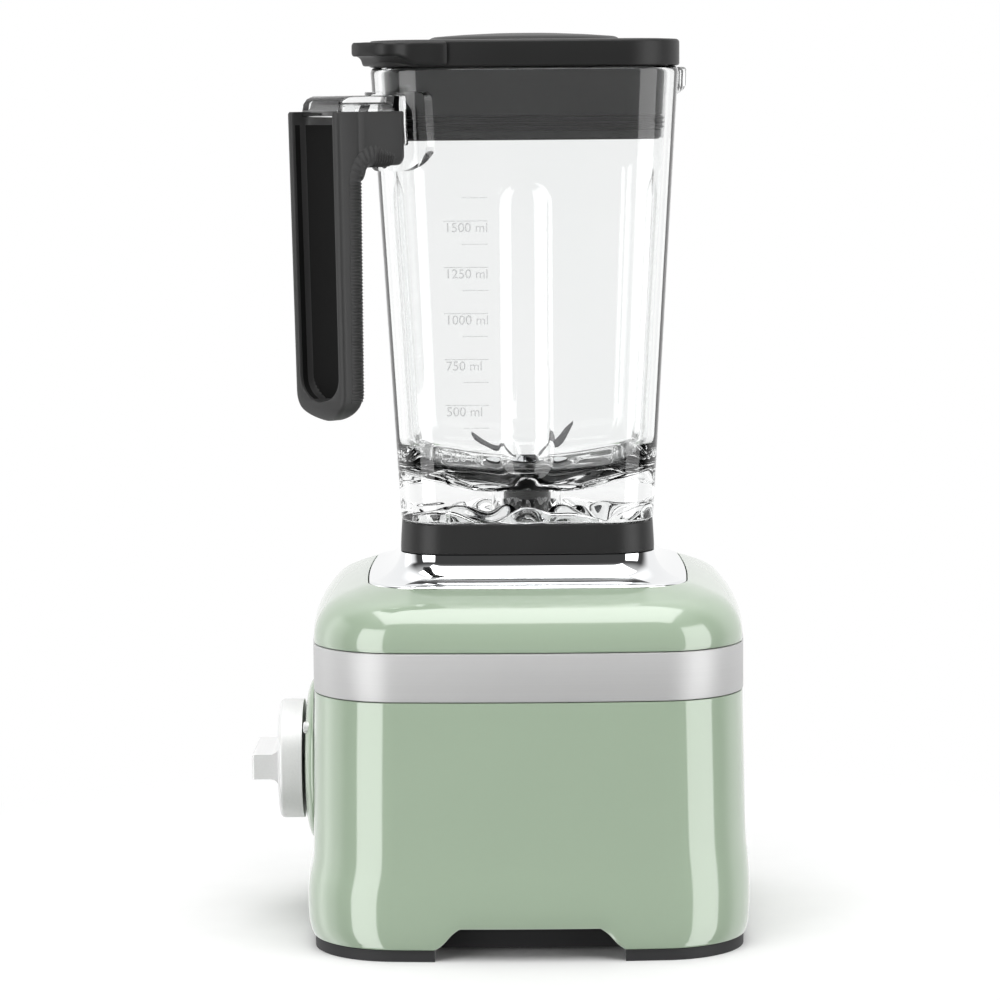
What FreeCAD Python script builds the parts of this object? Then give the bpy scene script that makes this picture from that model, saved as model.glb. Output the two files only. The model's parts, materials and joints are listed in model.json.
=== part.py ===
"""Countertop blender: motor base, glass jar with blades, lid and centre cap.

Millimetres. +Z is up, the dial faces -Y, and the origin is on the drive axis at the level of the
feet's undersides. The handle points along (+X, -Y) and the pouring spout along (-X, +Y).
"""
import FreeCAD
import Part
import math
import os
import Sketcher
from FreeCAD import Vector, Placement, Rotation

DIMENSIONS = {
    # motor base
    "foot_height": 6.0,
    "housing_bottom": 5.6,
    "band_bottom": 122.2,
    "band_top": 144.8,
    "base_half": 103.0,
    "base_half_x": 100.6,
    "base_corner": 42.0,
    "side_bow": 900.0,
    "wall": 2.8,
    "seam": 0.35,
    "shoulder_start": 147.3,
    "shoulder_radius": 22.0,
    "deck_half": 76.8,
    "deck_level": 172.0,
    "arch_top": 15.6,
    "arch_half_low": 44.0,
    "arch_half_high": 33.0,
    # jar seat on top of the base
    "cove_half": 76.4,
    "cove_radius": 15.5,
    "cove_centre": 188.0,
    "pad_top": 185.7,
    "pad_recess_floor": 178.5,
    "pad_recess_half": 52.6,
    # dial
    "dial_level": 79.0,
    "bezel_radius": 39.3,
    "bezel_back": 98.8,
    "bezel_crown": 109.0,
    "knob_radius": 29.0,
    "knob_back": 109.6,
    "knob_front": 121.2,
    "grip_front": 133.8,
    "grip_length": 50.0,
    "grip_thick": 12.0,
    "button_side": 29.0,
    "button_rise": 20.0,
    # motor
    "shaft_radius": 4.0,
    "running_fit": 0.04,
    "stator_radius": 44.0,
    "stator_bore": 24.7,
    "stator_low": 66.0,
    "stator_high": 112.0,
    "armature_radius": 24.0,
    "commutator_radius": 12.0,
    "fan_radius": 40.0,
    "bearing_radius": 11.0,
    "bearing_length": 7.0,
    "lower_bearing_level": 34.0,
    "upper_bearing_level": 139.0,
    "bolt_offset": 35.4,
    "coupler_radius": 8.0,
    # jar
    "jar_bottom": 200.4,
    "jar_top": 413.8,
    "jar_half_low": 60.8,
    "jar_half_high": 73.4,
    "jar_corner_low": 21.5,
    "jar_corner_high": 27.0,
    "jar_wall": 4.6,
    "jar_bow": 700.0,
    "jar_foot_bottom": 194.0,
    "jar_foot_half": 56.4,
    "jar_floor": 213.6,
    "flute_half_width": 12.0,
    "flute_depth": 4.4,
    "flute_low": 232.0,
    "flute_high": 350.0,
    "hub_hole": 16.6,
    "collar_bottom": 186.0,
    "collar_half": 61.1,
    # handle
    "grip_outer": 137.0,
    "grip_half_width": 17.6,
    "grip_top": 393.8,
    "grip_bottom": 252.4,
    "arm_bottom": 369.0,
    # lid
    "lid_bottom": 414.1,
    "lid_top": 426.6,
    "lid_half": 73.8,
    "lid_hole": 36.0,
    "plug_bottom": 380.0,
    "cap_crown": 430.0,
}

doc = FreeCAD.newDocument("Blender")
sheet = doc.addObject("Spreadsheet::Sheet", "Dims")
for row, (alias, value) in enumerate(DIMENSIONS.items(), start=1):
    sheet.set(f"A{row}", alias)
    sheet.set(f"B{row}", str(value))
    sheet.setAlias(f"B{row}", alias)
doc.recompute()


class Size:
    """A length with its value and the spreadsheet expression that gives it."""

    def __init__(self, value, text):
        self.value = value
        self.text = text

    def joined(self, other, sign, value, swapped=False):
        first, second = (other.text, self.text) if swapped else (self.text, other.text)
        return Size(value, f"({first} {sign} {second})")

    def __add__(self, other):
        other = as_size(other)
        return self.joined(other, "+", self.value + other.value)

    def __radd__(self, other):
        return self + other

    def __sub__(self, other):
        other = as_size(other)
        return self.joined(other, "-", self.value - other.value)

    def __rsub__(self, other):
        other = as_size(other)
        return self.joined(other, "-", other.value - self.value, swapped=True)

    def __mul__(self, other):
        other = as_size(other)
        return self.joined(other, "*", self.value * other.value)

    def __rmul__(self, other):
        return self * other

    def __neg__(self):
        return self * -1


def as_size(number):
    return number if isinstance(number, Size) else Size(float(number), f"{float(number):g}")


def dim(alias):
    return Size(float(sheet.get(alias)), f"Dims.{alias}")


def mm(alias):
    """The plain number in a spreadsheet cell."""
    return float(sheet.get(alias))


SUBPARTS = []


def subpart(obj, label):
    obj.Label = label
    SUBPARTS.append(obj)
    return obj


def bind(obj, **sizes):
    for name, size in sizes.items():
        obj.setExpression(name.replace("__", "."), as_size(size).text)
    return obj


def put(obj, x=0, y=0, z=0):
    return bind(obj, Placement__Base__x=x, Placement__Base__y=y, Placement__Base__z=z)


def cylinder(name, radius, low, high, x=0, y=0):
    obj = doc.addObject("Part::Cylinder", name)
    bind(obj, Radius=radius, Height=as_size(high) - low)
    return put(obj, x, y, low)


def cuboid(name, size_x, size_y, low, high, x=0, y=0):
    """A box centred on (x, y)."""
    size_x, size_y = as_size(size_x), as_size(size_y)
    obj = doc.addObject("Part::Box", name)
    bind(obj, Length=size_x, Width=size_y, Height=as_size(high) - low)
    return put(obj, as_size(x) - size_x * 0.5, as_size(y) - size_y * 0.5, low)


def cut(name, base, tool):
    obj = doc.addObject("Part::Cut", name)
    obj.Base = base
    obj.Tool = tool
    return obj


def fuse(name, *shapes):
    obj = doc.addObject("Part::MultiFuse", name)
    obj.Shapes = list(shapes)
    return obj


def group(name, *shapes):
    """Separate solids kept side by side in one node."""
    obj = doc.addObject("Part::Compound", name)
    obj.Links = list(shapes)
    return obj


def tube(name, outer, inner, low, high, x=0, y=0):
    return cut(
        name,
        cylinder(name + "_outer", outer, low, high, x, y),
        cylinder(name + "_bore", inner, as_size(low) - 1, as_size(high) + 1, x, y),
    )


def origin_plane(body, role):
    return next(f for f in body.Origin.OriginFeatures if f.Role == role)


def turned(name, profile):
    """A body of revolution about Z from (radius, height) corners, each bound to the sheet."""
    body = doc.addObject("PartDesign::Body", name)
    sketch = body.newObject("Sketcher::SketchObject", name + "_profile")
    sketch.AttachmentSupport = [(origin_plane(body, "XZ_Plane"), "")]
    sketch.MapMode = "FlatFace"
    corners = [(as_size(radius), as_size(height)) for radius, height in profile]
    spots = [Vector(radius.value, height.value, 0) for radius, height in corners]
    count = len(spots)
    for i in range(count):
        sketch.addGeometry(Part.LineSegment(spots[i], spots[(i + 1) % count]), False)
    for i in range(count):
        sketch.addConstraint(Sketcher.Constraint("Coincident", i, 2, (i + 1) % count, 1))
    for i, (radius, height) in enumerate(corners):
        if radius.value == 0:
            sketch.addConstraint(Sketcher.Constraint("PointOnObject", i, 1, -2))
        else:
            mark = sketch.addConstraint(
                Sketcher.Constraint("DistanceX", -1, 1, i, 1, radius.value))
            sketch.setExpression(f"Constraints[{mark}]", radius.text)
        mark = sketch.addConstraint(Sketcher.Constraint("DistanceY", -1, 1, i, 1, height.value))
        sketch.setExpression(f"Constraints[{mark}]", height.text)
    spin = body.newObject("PartDesign::Revolution", name + "_turn")
    spin.Profile = sketch
    spin.ReferenceAxis = (sketch, ["V_Axis"])
    spin.Angle = 360
    body.Tip = spin
    return body


def facing_front(obj, level, side=0):
    """Turns a piece made along +Z so that it points out of the front face, along -Y."""
    obj.Placement = Placement(Vector(0, 0, 0), Rotation(Vector(1, 0, 0), 90))
    return bind(obj, Placement__Base__x=side, Placement__Base__z=level)


def front_cylinder(name, radius, near, far, level, side=0):
    """A cylinder that runs from one distance in front of the drive axis to another."""
    obj = doc.addObject("Part::Cylinder", name)
    obj.Placement = Placement(Vector(0, 0, 0), Rotation(Vector(1, 0, 0), 90))
    bind(obj, Radius=radius, Height=as_size(far) - near)
    return put(obj, side, -as_size(near), level)


def front_box(name, size_x, size_z, near, far, level, side=0):
    """A box behind the front face, centred on the given level and side."""
    size_x, size_z = as_size(size_x), as_size(size_z)
    obj = doc.addObject("Part::Box", name)
    bind(obj, Length=size_x, Width=as_size(far) - near, Height=size_z)
    return put(obj, as_size(side) - size_x * 0.5, -as_size(far), as_size(level) - size_z * 0.5)


def around(name, maker, spots):
    """One node holding a copy of a small piece at each (x, y)."""
    return group(name, *[maker(f"{name}_{i}", x, y) for i, (x, y) in enumerate(spots, start=1)])


def four(offset):
    offset = as_size(offset)
    return [(offset, offset), (-offset, offset), (-offset, -offset), (offset, -offset)]


def freeform(name, shape):
    """A shape that needs lofts, as a feature whose sizes were read from the sheet."""
    obj = doc.addObject("Part::Feature", name)
    obj.Shape = shape
    obj.Placement = shape.Placement
    return obj


# ---------------------------------------------------------------- outlines and lofts

def outline(z, half_x, half_y, corner, centre_y=0.0, bow=None):
    """A rounded rectangle with gently bowed sides, as eight tangent arcs at height z."""
    bow = mm("side_bow") if bow is None else bow
    side_x = half_x - bow
    side_y = half_y - bow
    reach = bow - corner
    corner_x = half_x - corner
    corner_y = half_y - corner
    for _ in range(60):
        corner_x = side_x + math.sqrt(reach**2 - corner_y**2)
        corner_y = side_y + math.sqrt(reach**2 - corner_x**2)
    angle_x = math.atan2(corner_y, corner_x - side_x)
    angle_y = math.pi / 2 - math.atan2(corner_x, corner_y - side_y)
    middle = (angle_x + angle_y) / 2
    on_x = (side_x + bow * math.cos(angle_x), bow * math.sin(angle_x))
    on_y = (bow * math.cos(angle_y), side_y + bow * math.sin(angle_y))
    on_corner = (corner_x + corner * math.cos(middle), corner_y + corner * math.sin(middle))

    def spot(point, flip_x, flip_y):
        return Vector(point[0] * flip_x, point[1] * flip_y + centre_y, z)

    quadrants = [(1, 1), (-1, 1), (-1, -1), (1, -1)]
    arcs = []
    for turn, (fx, fy) in enumerate(quadrants):
        first, last = (on_x, on_y) if turn % 2 == 0 else (on_y, on_x)
        arcs.append(Part.Arc(spot(first, fx, fy), spot(on_corner, fx, fy), spot(last, fx, fy)))
        next_fx, next_fy = quadrants[(turn + 1) % 4]
        crest = (0, half_y) if turn % 2 == 0 else (half_x, 0)
        side = (fx if turn % 2 else 1, fy)
        arcs.append(Part.Arc(spot(last, fx, fy), spot(crest, *side), spot(last, next_fx, next_fy)))
    return Part.Wire([arc.toShape() for arc in arcs])


def ruled(wires):
    return Part.makeLoft(wires, True, True)


def block(x0, x1, y0, y1, z0, z1):
    return Part.makeBox(x1 - x0, y1 - y0, z1 - z0, Vector(x0, y0, z0))


def rod(radius, start, end):
    along = end - start
    return Part.makeCylinder(radius, along.Length, start, along)


def prism(points, depth):
    """Extrudes a closed polygon by a vector."""
    return Part.Face(Part.makePolygon(points + [points[0]])).extrude(depth)


# ---------------------------------------------------------------- motor base: shells

# height, half width in X, reach to the front, reach to the back
HOUSING_LEVELS = [
    (5.6, 101.2, 105.0, 104.4),
    (13.0, 102.2, 106.8, 105.8),
    (25.0, 102.4, 107.2, 106.2),
    (33.0, 102.2, 106.4, 106.0),
    (42.0, 101.8, 104.6, 105.4),
    (54.0, 101.6, 104.1, 104.4),
    (85.0, 101.2, 103.7, 103.7),
    (121.85, 100.6, 103.0, 103.0),
]


def housing_loft(inset, low_extra=0.0, high_extra=0.0):
    wires = []
    for i, (z, half_x, front, back) in enumerate(HOUSING_LEVELS):
        if i == 0:
            z = z - low_extra
        if i == len(HOUSING_LEVELS) - 1:
            z = z + high_extra
        half_y = (front + back) / 2 - inset
        wires.append(outline(
            z, half_x - inset, half_y, mm("base_corner") - inset, (back - front) / 2))
    return ruled(wires)


def arch_tool():
    """The shallow arch cut through the lower edge of both side walls."""
    low, high, top = mm("arch_half_low"), mm("arch_half_high"), mm("arch_top")
    reach = 130.0
    points = [
        Vector(-reach, -low - 2, -1),
        Vector(-reach, -low, mm("housing_bottom")),
        Vector(-reach, -high, top),
        Vector(-reach, high, top),
        Vector(-reach, low, mm("housing_bottom")),
        Vector(-reach, low + 2, -1),
    ]
    tool = prism(points, Vector(2 * reach, 0, 0))
    upper = [e for e in tool.Edges
             if abs(e.BoundBox.ZMin - top) < 0.01 and e.BoundBox.XLength > reach]
    return tool.makeFillet(5.0, upper)


def lower_housing():
    outer = housing_loft(0.0)
    inner = housing_loft(mm("wall"), 1.0, 1.0)
    shell = outer.cut(inner)
    half_x, half_y = mm("base_half_x") - 1.5, mm("base_half") - 1.6
    ledge = ruled([outline(z, half_x, half_y, 40.5) for z in (116.0, 120.5)])
    ledge = ledge.cut(ruled([outline(z, half_x - 4.5, half_y - 4.6, 36.0)
                             for z in (115.0, 121.5)]))
    shell = shell.fuse(ledge)
    shell = shell.cut(arch_tool())
    level = mm("dial_level")
    dial_hole = Part.makeCylinder(
        mm("bezel_radius") + 0.3, 30.0, Vector(0, -85.0, level), Vector(0, -1, 0))
    gland_hole = Part.makeCylinder(8.0, 30.0, Vector(0, 90, 28.0), Vector(0, 1, 0))
    rim_seat = Part.makeCylinder(
        mm("bezel_radius") + 2.2, mm("bezel_back") - 84.0, Vector(0, -85.0, level), Vector(0, -1, 0))
    shell = shell.cut(dial_hole).cut(rim_seat).cut(gland_hole)
    return shell.removeSplitter()


def trim_band():
    low, high, edge = mm("band_bottom"), mm("band_top"), 0.5
    half_x, half_y, corner = mm("base_half_x") + 0.3, mm("base_half") + 0.3, mm("base_corner")
    levels = [(low, edge), (low + edge, 0.0), (high - edge, 0.0), (high, edge)]
    outer = ruled([outline(z, half_x - inset, half_y - inset, corner - inset)
                   for z, inset in levels])
    inner = ruled([outline(z, half_x - 2.4, half_y - 2.4, corner - 2.4)
                   for z in (low - 1, high + 1)])
    return outer.cut(inner)


def dome_corner(half):
    return mm("base_corner") - 0.58 * (mm("base_half") - half)


def dome_levels():
    """Half widths and heights up the rounded shoulder and the sloping top of the base."""
    radius = mm("shoulder_radius")
    centre = mm("base_half") - radius
    start = mm("shoulder_start")
    levels = [(mm("base_half"), mm("band_top") + mm("seam")), (mm("base_half"), start)]
    for degrees in (18, 34, 50, 65):
        angle = math.radians(degrees)
        levels.append((centre + radius * math.cos(angle), start + radius * math.sin(angle)))
    half, height = levels[-1]
    levels.append(((half + mm("deck_half")) / 2, (height + mm("deck_level")) / 2 + 0.2))
    levels.append((mm("deck_half"), mm("deck_level")))
    return levels


def dome_loft(inset, drop):
    narrower = mm("base_half") - mm("base_half_x")
    wires = []
    for half, height in dome_levels():
        fade = (half - mm("deck_half")) / (mm("base_half") - mm("deck_half"))
        wires.append(outline(
            height - drop, half - narrower * fade - inset, half - inset,
            dome_corner(half) - inset * 0.8))
    return ruled(wires)


def top_shell():
    outer = dome_loft(0.0, 0.0)
    inner = dome_loft(2.6, 2.2)
    skirt = ruled([outline(z, mm("base_half_x") - 2.6, mm("base_half") - 2.6, 39.4)
                   for z in (140.0, 146.0)])
    shell = outer.cut(inner.fuse(skirt))
    half = mm("deck_half")
    deck_outer = ruled([outline(z, half + 10.4, half + 10.4, 34.2) for z in (163.6, 166.6)])
    deck_hole = ruled([outline(z, 60.0, 60.0, 18.0) for z in (150.0, 190.0)])
    well = ruled([outline(z, half, half, dome_corner(half)) for z in (166.6, 190.0)])
    deck = deck_outer.cut(deck_hole)
    shell = shell.fuse(deck).cut(well)
    half_x, half_y = mm("base_half_x"), mm("base_half")
    tongue_outer = ruled([outline(z, half_x - 2.4, half_y - 2.4, 39.0) for z in (121.95, 148.0)])
    collar = ruled([outline(z, half_x - 1.4, half_y - 1.4, 40.0) for z in (145.2, 148.0)])
    tongue_inner = ruled([outline(z, half_x - 4.8, half_y - 4.8, 36.6) for z in (120.0, 151.0)])
    tongue = tongue_outer.fuse(collar).cut(tongue_inner)
    return shell.fuse(tongue).removeSplitter()


def jar_pad():
    radius, centre_z = mm("cove_radius"), mm("cove_centre")
    centre_half = mm("cove_half")
    corner_low = dome_corner(mm("deck_half")) - 0.4
    wires = [outline(mm("deck_level") - 2.2, centre_half, centre_half, corner_low)]
    top_angle = math.degrees(math.asin((centre_z - mm("pad_top")) / radius))
    steps = 6
    for i in range(steps + 1):
        angle = math.radians(90 + (top_angle - 90) * i / steps)
        half = centre_half - radius * math.cos(angle)
        corner = corner_low - 0.36 * (centre_half - half)
        wires.append(outline(centre_z - radius * math.sin(angle), half, half, corner))
    body = ruled(wires)
    under = ruled([outline(z, half, half, 20.0)
                   for z, half in ((160.0, 68.0), (170.0, 68.0), (176.0, 58.0))])
    recess_half = mm("pad_recess_half")
    recess = ruled([outline(z, recess_half, recess_half, 14.0)
                    for z in (mm("pad_recess_floor"), mm("pad_top") + 5)])
    spigot = ruled([outline(z, 59.6, 59.6, 17.6) for z in (164.0, 172.0)])
    spigot = spigot.cut(ruled([outline(z, 57.0, 57.0, 15.0) for z in (163.0, 173.0)]))
    foot = ruled([outline(z, 75.0, 75.0, 24.0) for z in (166.8, 170.2)])
    foot = foot.cut(ruled([outline(z, 58.0, 58.0, 16.0) for z in (160.0, 171.0)]))
    bore = rod(21.0, Vector(0, 0, 150), Vector(0, 0, 200))
    return body.cut(under).fuse([foot, spigot]).cut(recess).cut(bore).removeSplitter()


def damping_mat():
    floor = mm("pad_recess_floor")
    half = mm("pad_recess_half") - 1.2
    mat = ruled([outline(z, half, half, 13.0) for z in (floor, floor + 1.1)])
    return mat.cut(rod(26.0, Vector(0, 0, 150), Vector(0, 0, 200)))


def bottom_cover():
    def plate(low, high, inset):
        return ruled([outline(z, 101.2 - inset, 104.2 - inset, 42.0 - inset, -0.3)
                      for z in (low, high)])
    step = mm("foot_height")
    cover = plate(step, step + 3.0, 3.8)
    for side in (1, -1):
        tunnel_low = 78.0
        cover = cover.cut(block(min(side * tunnel_low, side * 120), max(side * tunnel_low, side * 120),
                                -47.5, 47.5, 0, 20))
        wall_low, wall_high = sorted((side * 78.0, side * 75.5))
        cover = cover.fuse(block(wall_low, wall_high, -50, 50, 2.0, 19.0))
        for end in (1, -1):
            near, far = sorted((end * 47.5, end * 50.0))
            x_low, x_high = sorted((side * 76.0, side * 95.6))
            cover = cover.fuse(block(x_low, x_high, near, far, step, 19.0))
    for i in range(9):
        x = -32 + 8 * i
        for y_low, y_high in ((-62, -24), (24, 62)):
            cover = cover.cut(block(x - 1.8, x + 1.8, y_low, y_high, 0, 20))
    for x in (66.0, -66.0):
        for y in (66.0, -66.0):
            cover = cover.cut(rod(2.3, Vector(x, y, 0), Vector(x, y, 20)))
    return cover.removeSplitter()


def feet():
    """Four rubber corner feet that follow the outline of the base."""
    def slab(inset, low, high):
        return ruled([outline(z, 101.0 - inset, 104.4 - inset, 41.0 - inset, -0.3)
                      for z in (low, high)])
    ring = slab(0.8, 0.0, 5.3).cut(slab(17.0, -1.0, 7.0))
    gap_sides = block(-130, 130, -mm("arch_half_low") - 0.4, mm("arch_half_low") + 0.4, -1, 9)
    gap_ends = block(-46, 46, -130, 130, -1, 9)
    corners = ring.cut(gap_sides).cut(gap_ends)
    return Part.makeCompound(corners.Solids)


# ---------------------------------------------------------------- jar, handle and lid shapes

def jar_half(z):
    low, high = mm("jar_bottom"), mm("jar_top")
    share = (z - low) / (high - low)
    return mm("jar_half_low") + share * (mm("jar_half_high") - mm("jar_half_low"))


def jar_corner(z):
    low, high = mm("jar_bottom"), mm("jar_top")
    share = (z - low) / (high - low)
    return mm("jar_corner_low") + share * (mm("jar_corner_high") - mm("jar_corner_low"))


def jar_outline(z, inset):
    return outline(z, jar_half(z) - inset, jar_half(z) - inset, jar_corner(z) - inset,
                   bow=mm("jar_bow"))


def diagonal(reach, across, z):
    """A point in the handle's own frame: outward along the corner, and across it."""
    root = math.sqrt(0.5)
    return Vector((reach + across) * root, (across - reach) * root, z)


def diagonal_block(reach_low, reach_high, half_width, low, high):
    points = [diagonal(reach_low, -half_width, low), diagonal(reach_high, -half_width, low),
              diagonal(reach_high, half_width, low), diagonal(reach_low, half_width, low)]
    return prism(points, Vector(0, 0, high - low))


def flutes(extra):
    """Capsules along the middle of each wall; extra thickens them for the inner face."""
    chord, depth = mm("flute_half_width"), mm("flute_depth")
    radius = (chord**2 + depth**2) / (2 * depth)
    low, high = mm("flute_low"), mm("flute_high")
    tools = []
    for quarter in range(4):
        start = Vector(jar_half(low) + radius - depth, 0, low)
        end = Vector(jar_half(high) + radius - depth, 0, high)
        capsule = rod(radius + extra, start, end)
        for spot in (start, end):
            capsule = capsule.fuse(Part.makeSphere(radius + extra, spot))
        capsule.rotate(Vector(0, 0, 0), Vector(0, 0, 1), 90 * quarter)
        tools.append(capsule)
    return tools


def spout_loft(widen, low_drop):
    """The pouring lip: a small trough that leans out of the rear corner."""
    root = math.sqrt(0.5)
    wires = []
    for z, tip in ((398.0, 95.0), (404.0, 101.0), (410.0, 108.5), (413.8, 112.0)):
        z = z + low_drop
        tip = tip + widen
        half = 13.0 + widen
        back = 76.0
        points = [Vector(-(back + half) * root, (back - half) * root, z),
                  Vector(-(tip - 9 + half) * root, (tip - 9 - half) * root, z),
                  Vector(-tip * root, tip * root, z),
                  Vector(-(tip - 9 - half) * root, (tip - 9 + half) * root, z),
                  Vector(-(back - half) * root, (back + half) * root, z)]
        nose = Part.Arc(points[1], points[2], points[3]).toShape()
        wires.append(Part.Wire([
            Part.makeLine(points[0], points[1]), nose,
            Part.makeLine(points[3], points[4]), Part.makeLine(points[4], points[0])]))
    return ruled(wires)


def glass_jar():
    bottom, top, wall = mm("jar_bottom"), mm("jar_top"), mm("jar_wall")
    outer = ruled([jar_outline(bottom, 0.0), jar_outline(top, 0.0)])
    inner = ruled([
        outline(212.6, 14.0, 14.0, 12.0, bow=200),
        outline(213.8, 30.0, 30.0, 16.0, bow=300),
        outline(217.0, 43.0, 43.0, 18.0, bow=400),
        outline(223.5, 52.5, 52.5, 18.5, bow=500),
        outline(228.5, 56.2, 56.2, 18.0, bow=600),
        jar_outline(237.0, wall),
        jar_outline(top + 1.0, wall),
    ])
    for tool in flutes(0.0):
        outer = outer.cut(tool)
    for tool in flutes(wall):
        inner = inner.cut(tool)
    pad = ruled([jar_outline(368.0, -2.2), jar_outline(402.0, -2.2)])
    pad = pad.common(diagonal_block(60.0, 110.0, 20.2, 368.0, 402.0))
    lug = diagonal_block(80.0, 132.0, 13.0, 376.0, 401.0)
    crest = [e for e in lug.Edges if e.BoundBox.ZLength < 0.01 and e.BoundBox.ZMin > 400.9]
    outer_end = [e for e in lug.Edges if e.BoundBox.ZLength > 20
                 and (e.BoundBox.XMin - e.BoundBox.YMax) * math.sqrt(0.5) > 120]
    lug = lug.makeFillet(6.0, crest + outer_end)
    outer = outer.fuse([pad, lug, spout_loft(0.0, 0.0)])
    inner = inner.fuse(spout_loft(-3.6, 2.0).fuse(spout_loft(-3.6, 8.0)))
    foot = ruled([outline(z, mm("jar_foot_half"), mm("jar_foot_half"), 18.0)
                  for z in (mm("jar_foot_bottom"), bottom)])
    jar = outer.fuse(foot).cut(inner)
    jar = jar.cut(rod(mm("hub_hole"), Vector(0, 0, 150), Vector(0, 0, 230)))
    jar = jar.cut(rod(22.5, Vector(0, 0, mm("jar_floor")), Vector(0, 0, 220)))
    return jar.removeSplitter()


def jar_collar():
    low, high = mm("collar_bottom"), mm("jar_bottom") - 0.2
    half = mm("collar_half")
    corner = dome_corner(mm("deck_half")) - 0.4 - 0.36 * (mm("cove_half") - half)
    body = ruled([outline(low, half, half, corner), outline(high, half - 0.6, half - 0.6, corner)])
    pocket_half = mm("jar_foot_half") + 0.25
    pocket = ruled([outline(z, pocket_half, pocket_half, 18.2)
                    for z in (mm("jar_foot_bottom") - 0.2, high + 1)])
    boss = ruled([outline(z, grow, grow, 13.4)
                  for z, grow in ((mm("pad_recess_floor") + 1.6, 51.6), (low + 0.5, 51.9))])
    body = body.fuse(boss).cut(pocket)
    hollow = ruled([outline(z, 48.0, 48.0, 11.0) for z in (170.0, 191.0)])
    body = body.cut(hollow)
    body = body.cut(rod(26.0, Vector(0, 0, 170), Vector(0, 0, 210)))
    return body.removeSplitter()


def side_edge(edge, half_width):
    """True for an edge that lies on either side face of the handle."""
    middle = edge.CenterOfMass
    return abs(abs(middle.x + middle.y) * math.sqrt(0.5) - half_width) < 0.05


def handle_grip():
    outer, half = mm("grip_outer"), mm("grip_half_width")
    top, bottom, arm = mm("grip_top"), mm("grip_bottom"), mm("arm_bottom")
    # side view, as (reach, height): outer face, tip, inner face, curve under the arm, jar end
    tip = 8.5
    points = [
        (outer, top), (outer - 3.0, bottom + tip), (outer - 3.0 - tip, bottom),
        (outer - 15.0, bottom + tip), (outer - 17.0, arm - 7.0), (outer - 24.0, arm),
        (97.5, arm + 1.0), (96.0, top),
    ]
    spots = [diagonal(r, -half, z) for r, z in points]
    edges = [
        Part.makeLine(spots[0], spots[1]),
        Part.Arc(spots[1], spots[2], spots[3]).toShape(),
        Part.makeLine(spots[3], spots[4]),
        Part.Arc(spots[4], diagonal(outer - 19.06, -half, arm - 2.06), spots[5]).toShape(),
        Part.makeLine(spots[5], spots[6]),
        Part.makeLine(spots[6], spots[7]),
        Part.makeLine(spots[7], spots[0]),
    ]
    across = diagonal(0, 2 * half, 0)
    grip = Part.Face(Part.Wire(edges)).extrude(across)
    long_edges = [e for e in grip.Edges
                  if side_edge(e, half) and e.CenterOfMass.z < arm + 12
                  and (e.CenterOfMass.x - e.CenterOfMass.y) * math.sqrt(0.5) > outer - 26]
    grip = grip.makeFillet(2.4, long_edges)
    lug_pocket = diagonal_block(90.0, 132.6, 13.5, 375.4, 405.0)
    recess = diagonal_block(outer - 8.0, outer + 6.0, 11.5, bottom + 19.0, 371.0)
    floor = rod(11.5, diagonal(outer - 8.0, 0, bottom + 19.0), diagonal(outer + 6.0, 0, bottom + 19.0))
    recess = recess.fuse(floor)
    jar_clear = ruled([jar_outline(360.0, -2.6), jar_outline(405.0, -2.6)])
    return grip.cut(lug_pocket).cut(recess).cut(jar_clear)


def lid_body():
    low, high, half = mm("lid_bottom"), mm("lid_top"), mm("lid_half")
    rim = ruled([outline(low, half, half, 27.2, bow=700), outline(low + 6, half, half, 27.2, bow=700),
                outline(high - 2.5, half - 0.3, half - 0.3, 27.0, bow=700),
                outline(high - 0.8, half - 1.4, half - 1.4, 26.4, bow=700),
                outline(high, half - 3.2, half - 3.2, 25.4, bow=700)])
    tab = diagonal_block(78.0, 103.6, 15.0, 418.2, 425.4)
    corners = [e for e in tab.Edges if e.BoundBox.ZLength > 5
               and (e.BoundBox.XMin - e.BoundBox.YMax) * math.sqrt(0.5) > 96]
    tab = tab.makeFillet(9.0, corners)
    gusset = prism([diagonal(90, -12, 418.6), diagonal(99, -12, 418.6), diagonal(94, -12, low + 0.2),
                    diagonal(90, -12, low + 0.2)], diagonal(0, 24, 0))
    body = rim.fuse([tab, gusset])
    plug_outer = ruled([jar_outline(mm("plug_bottom"), mm("jar_wall") + 1.6),
                        jar_outline(low + 1, mm("jar_wall") + 1.6)])
    plug_inner = ruled([jar_outline(mm("plug_bottom") - 1, mm("jar_wall") + 4.6),
                        jar_outline(high - 3.6, mm("jar_wall") + 4.6)])
    groove = ruled([jar_outline(z, mm("jar_wall") - 1) for z in (384.6, 390.8)]).cut(
        ruled([jar_outline(z, mm("jar_wall") + 3.0) for z in (384.0, 391.4)]))
    hole = mm("lid_hole")
    sleeve = rod(hole + 2.6, Vector(0, 0, 396.0), Vector(0, 0, high - 0.5))
    body = body.fuse(plug_outer).cut(plug_inner).cut(groove).fuse(sleeve)
    body = body.cut(rod(hole, Vector(0, 0, 370), Vector(0, 0, 440)))
    body = body.cut(Part.makeCylinder(46.6, 10.0, Vector(0, 0, high - 1.6)))
    spout_gap = spout_loft(1.5, 0.0).common(block(-130, 0, 0, 130, 390, low + 0.01))
    return body.cut(spout_gap).removeSplitter()


def lid_seal():
    """A rubber ring in the plug's groove, with three soft lips."""
    wall = mm("jar_wall")
    ring = ruled([jar_outline(z, wall + 1.2) for z in (384.8, 390.6)])
    for z in (385.2, 387.4, 389.6):
        ring = ring.fuse(ruled([jar_outline(z, wall + 1.2), jar_outline(z + 0.4, wall + 0.45),
                                jar_outline(z + 0.8, wall + 1.2)]))
    core = ruled([jar_outline(z, wall + 2.9) for z in (384.0, 391.4)])
    return ring.cut(core)


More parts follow.
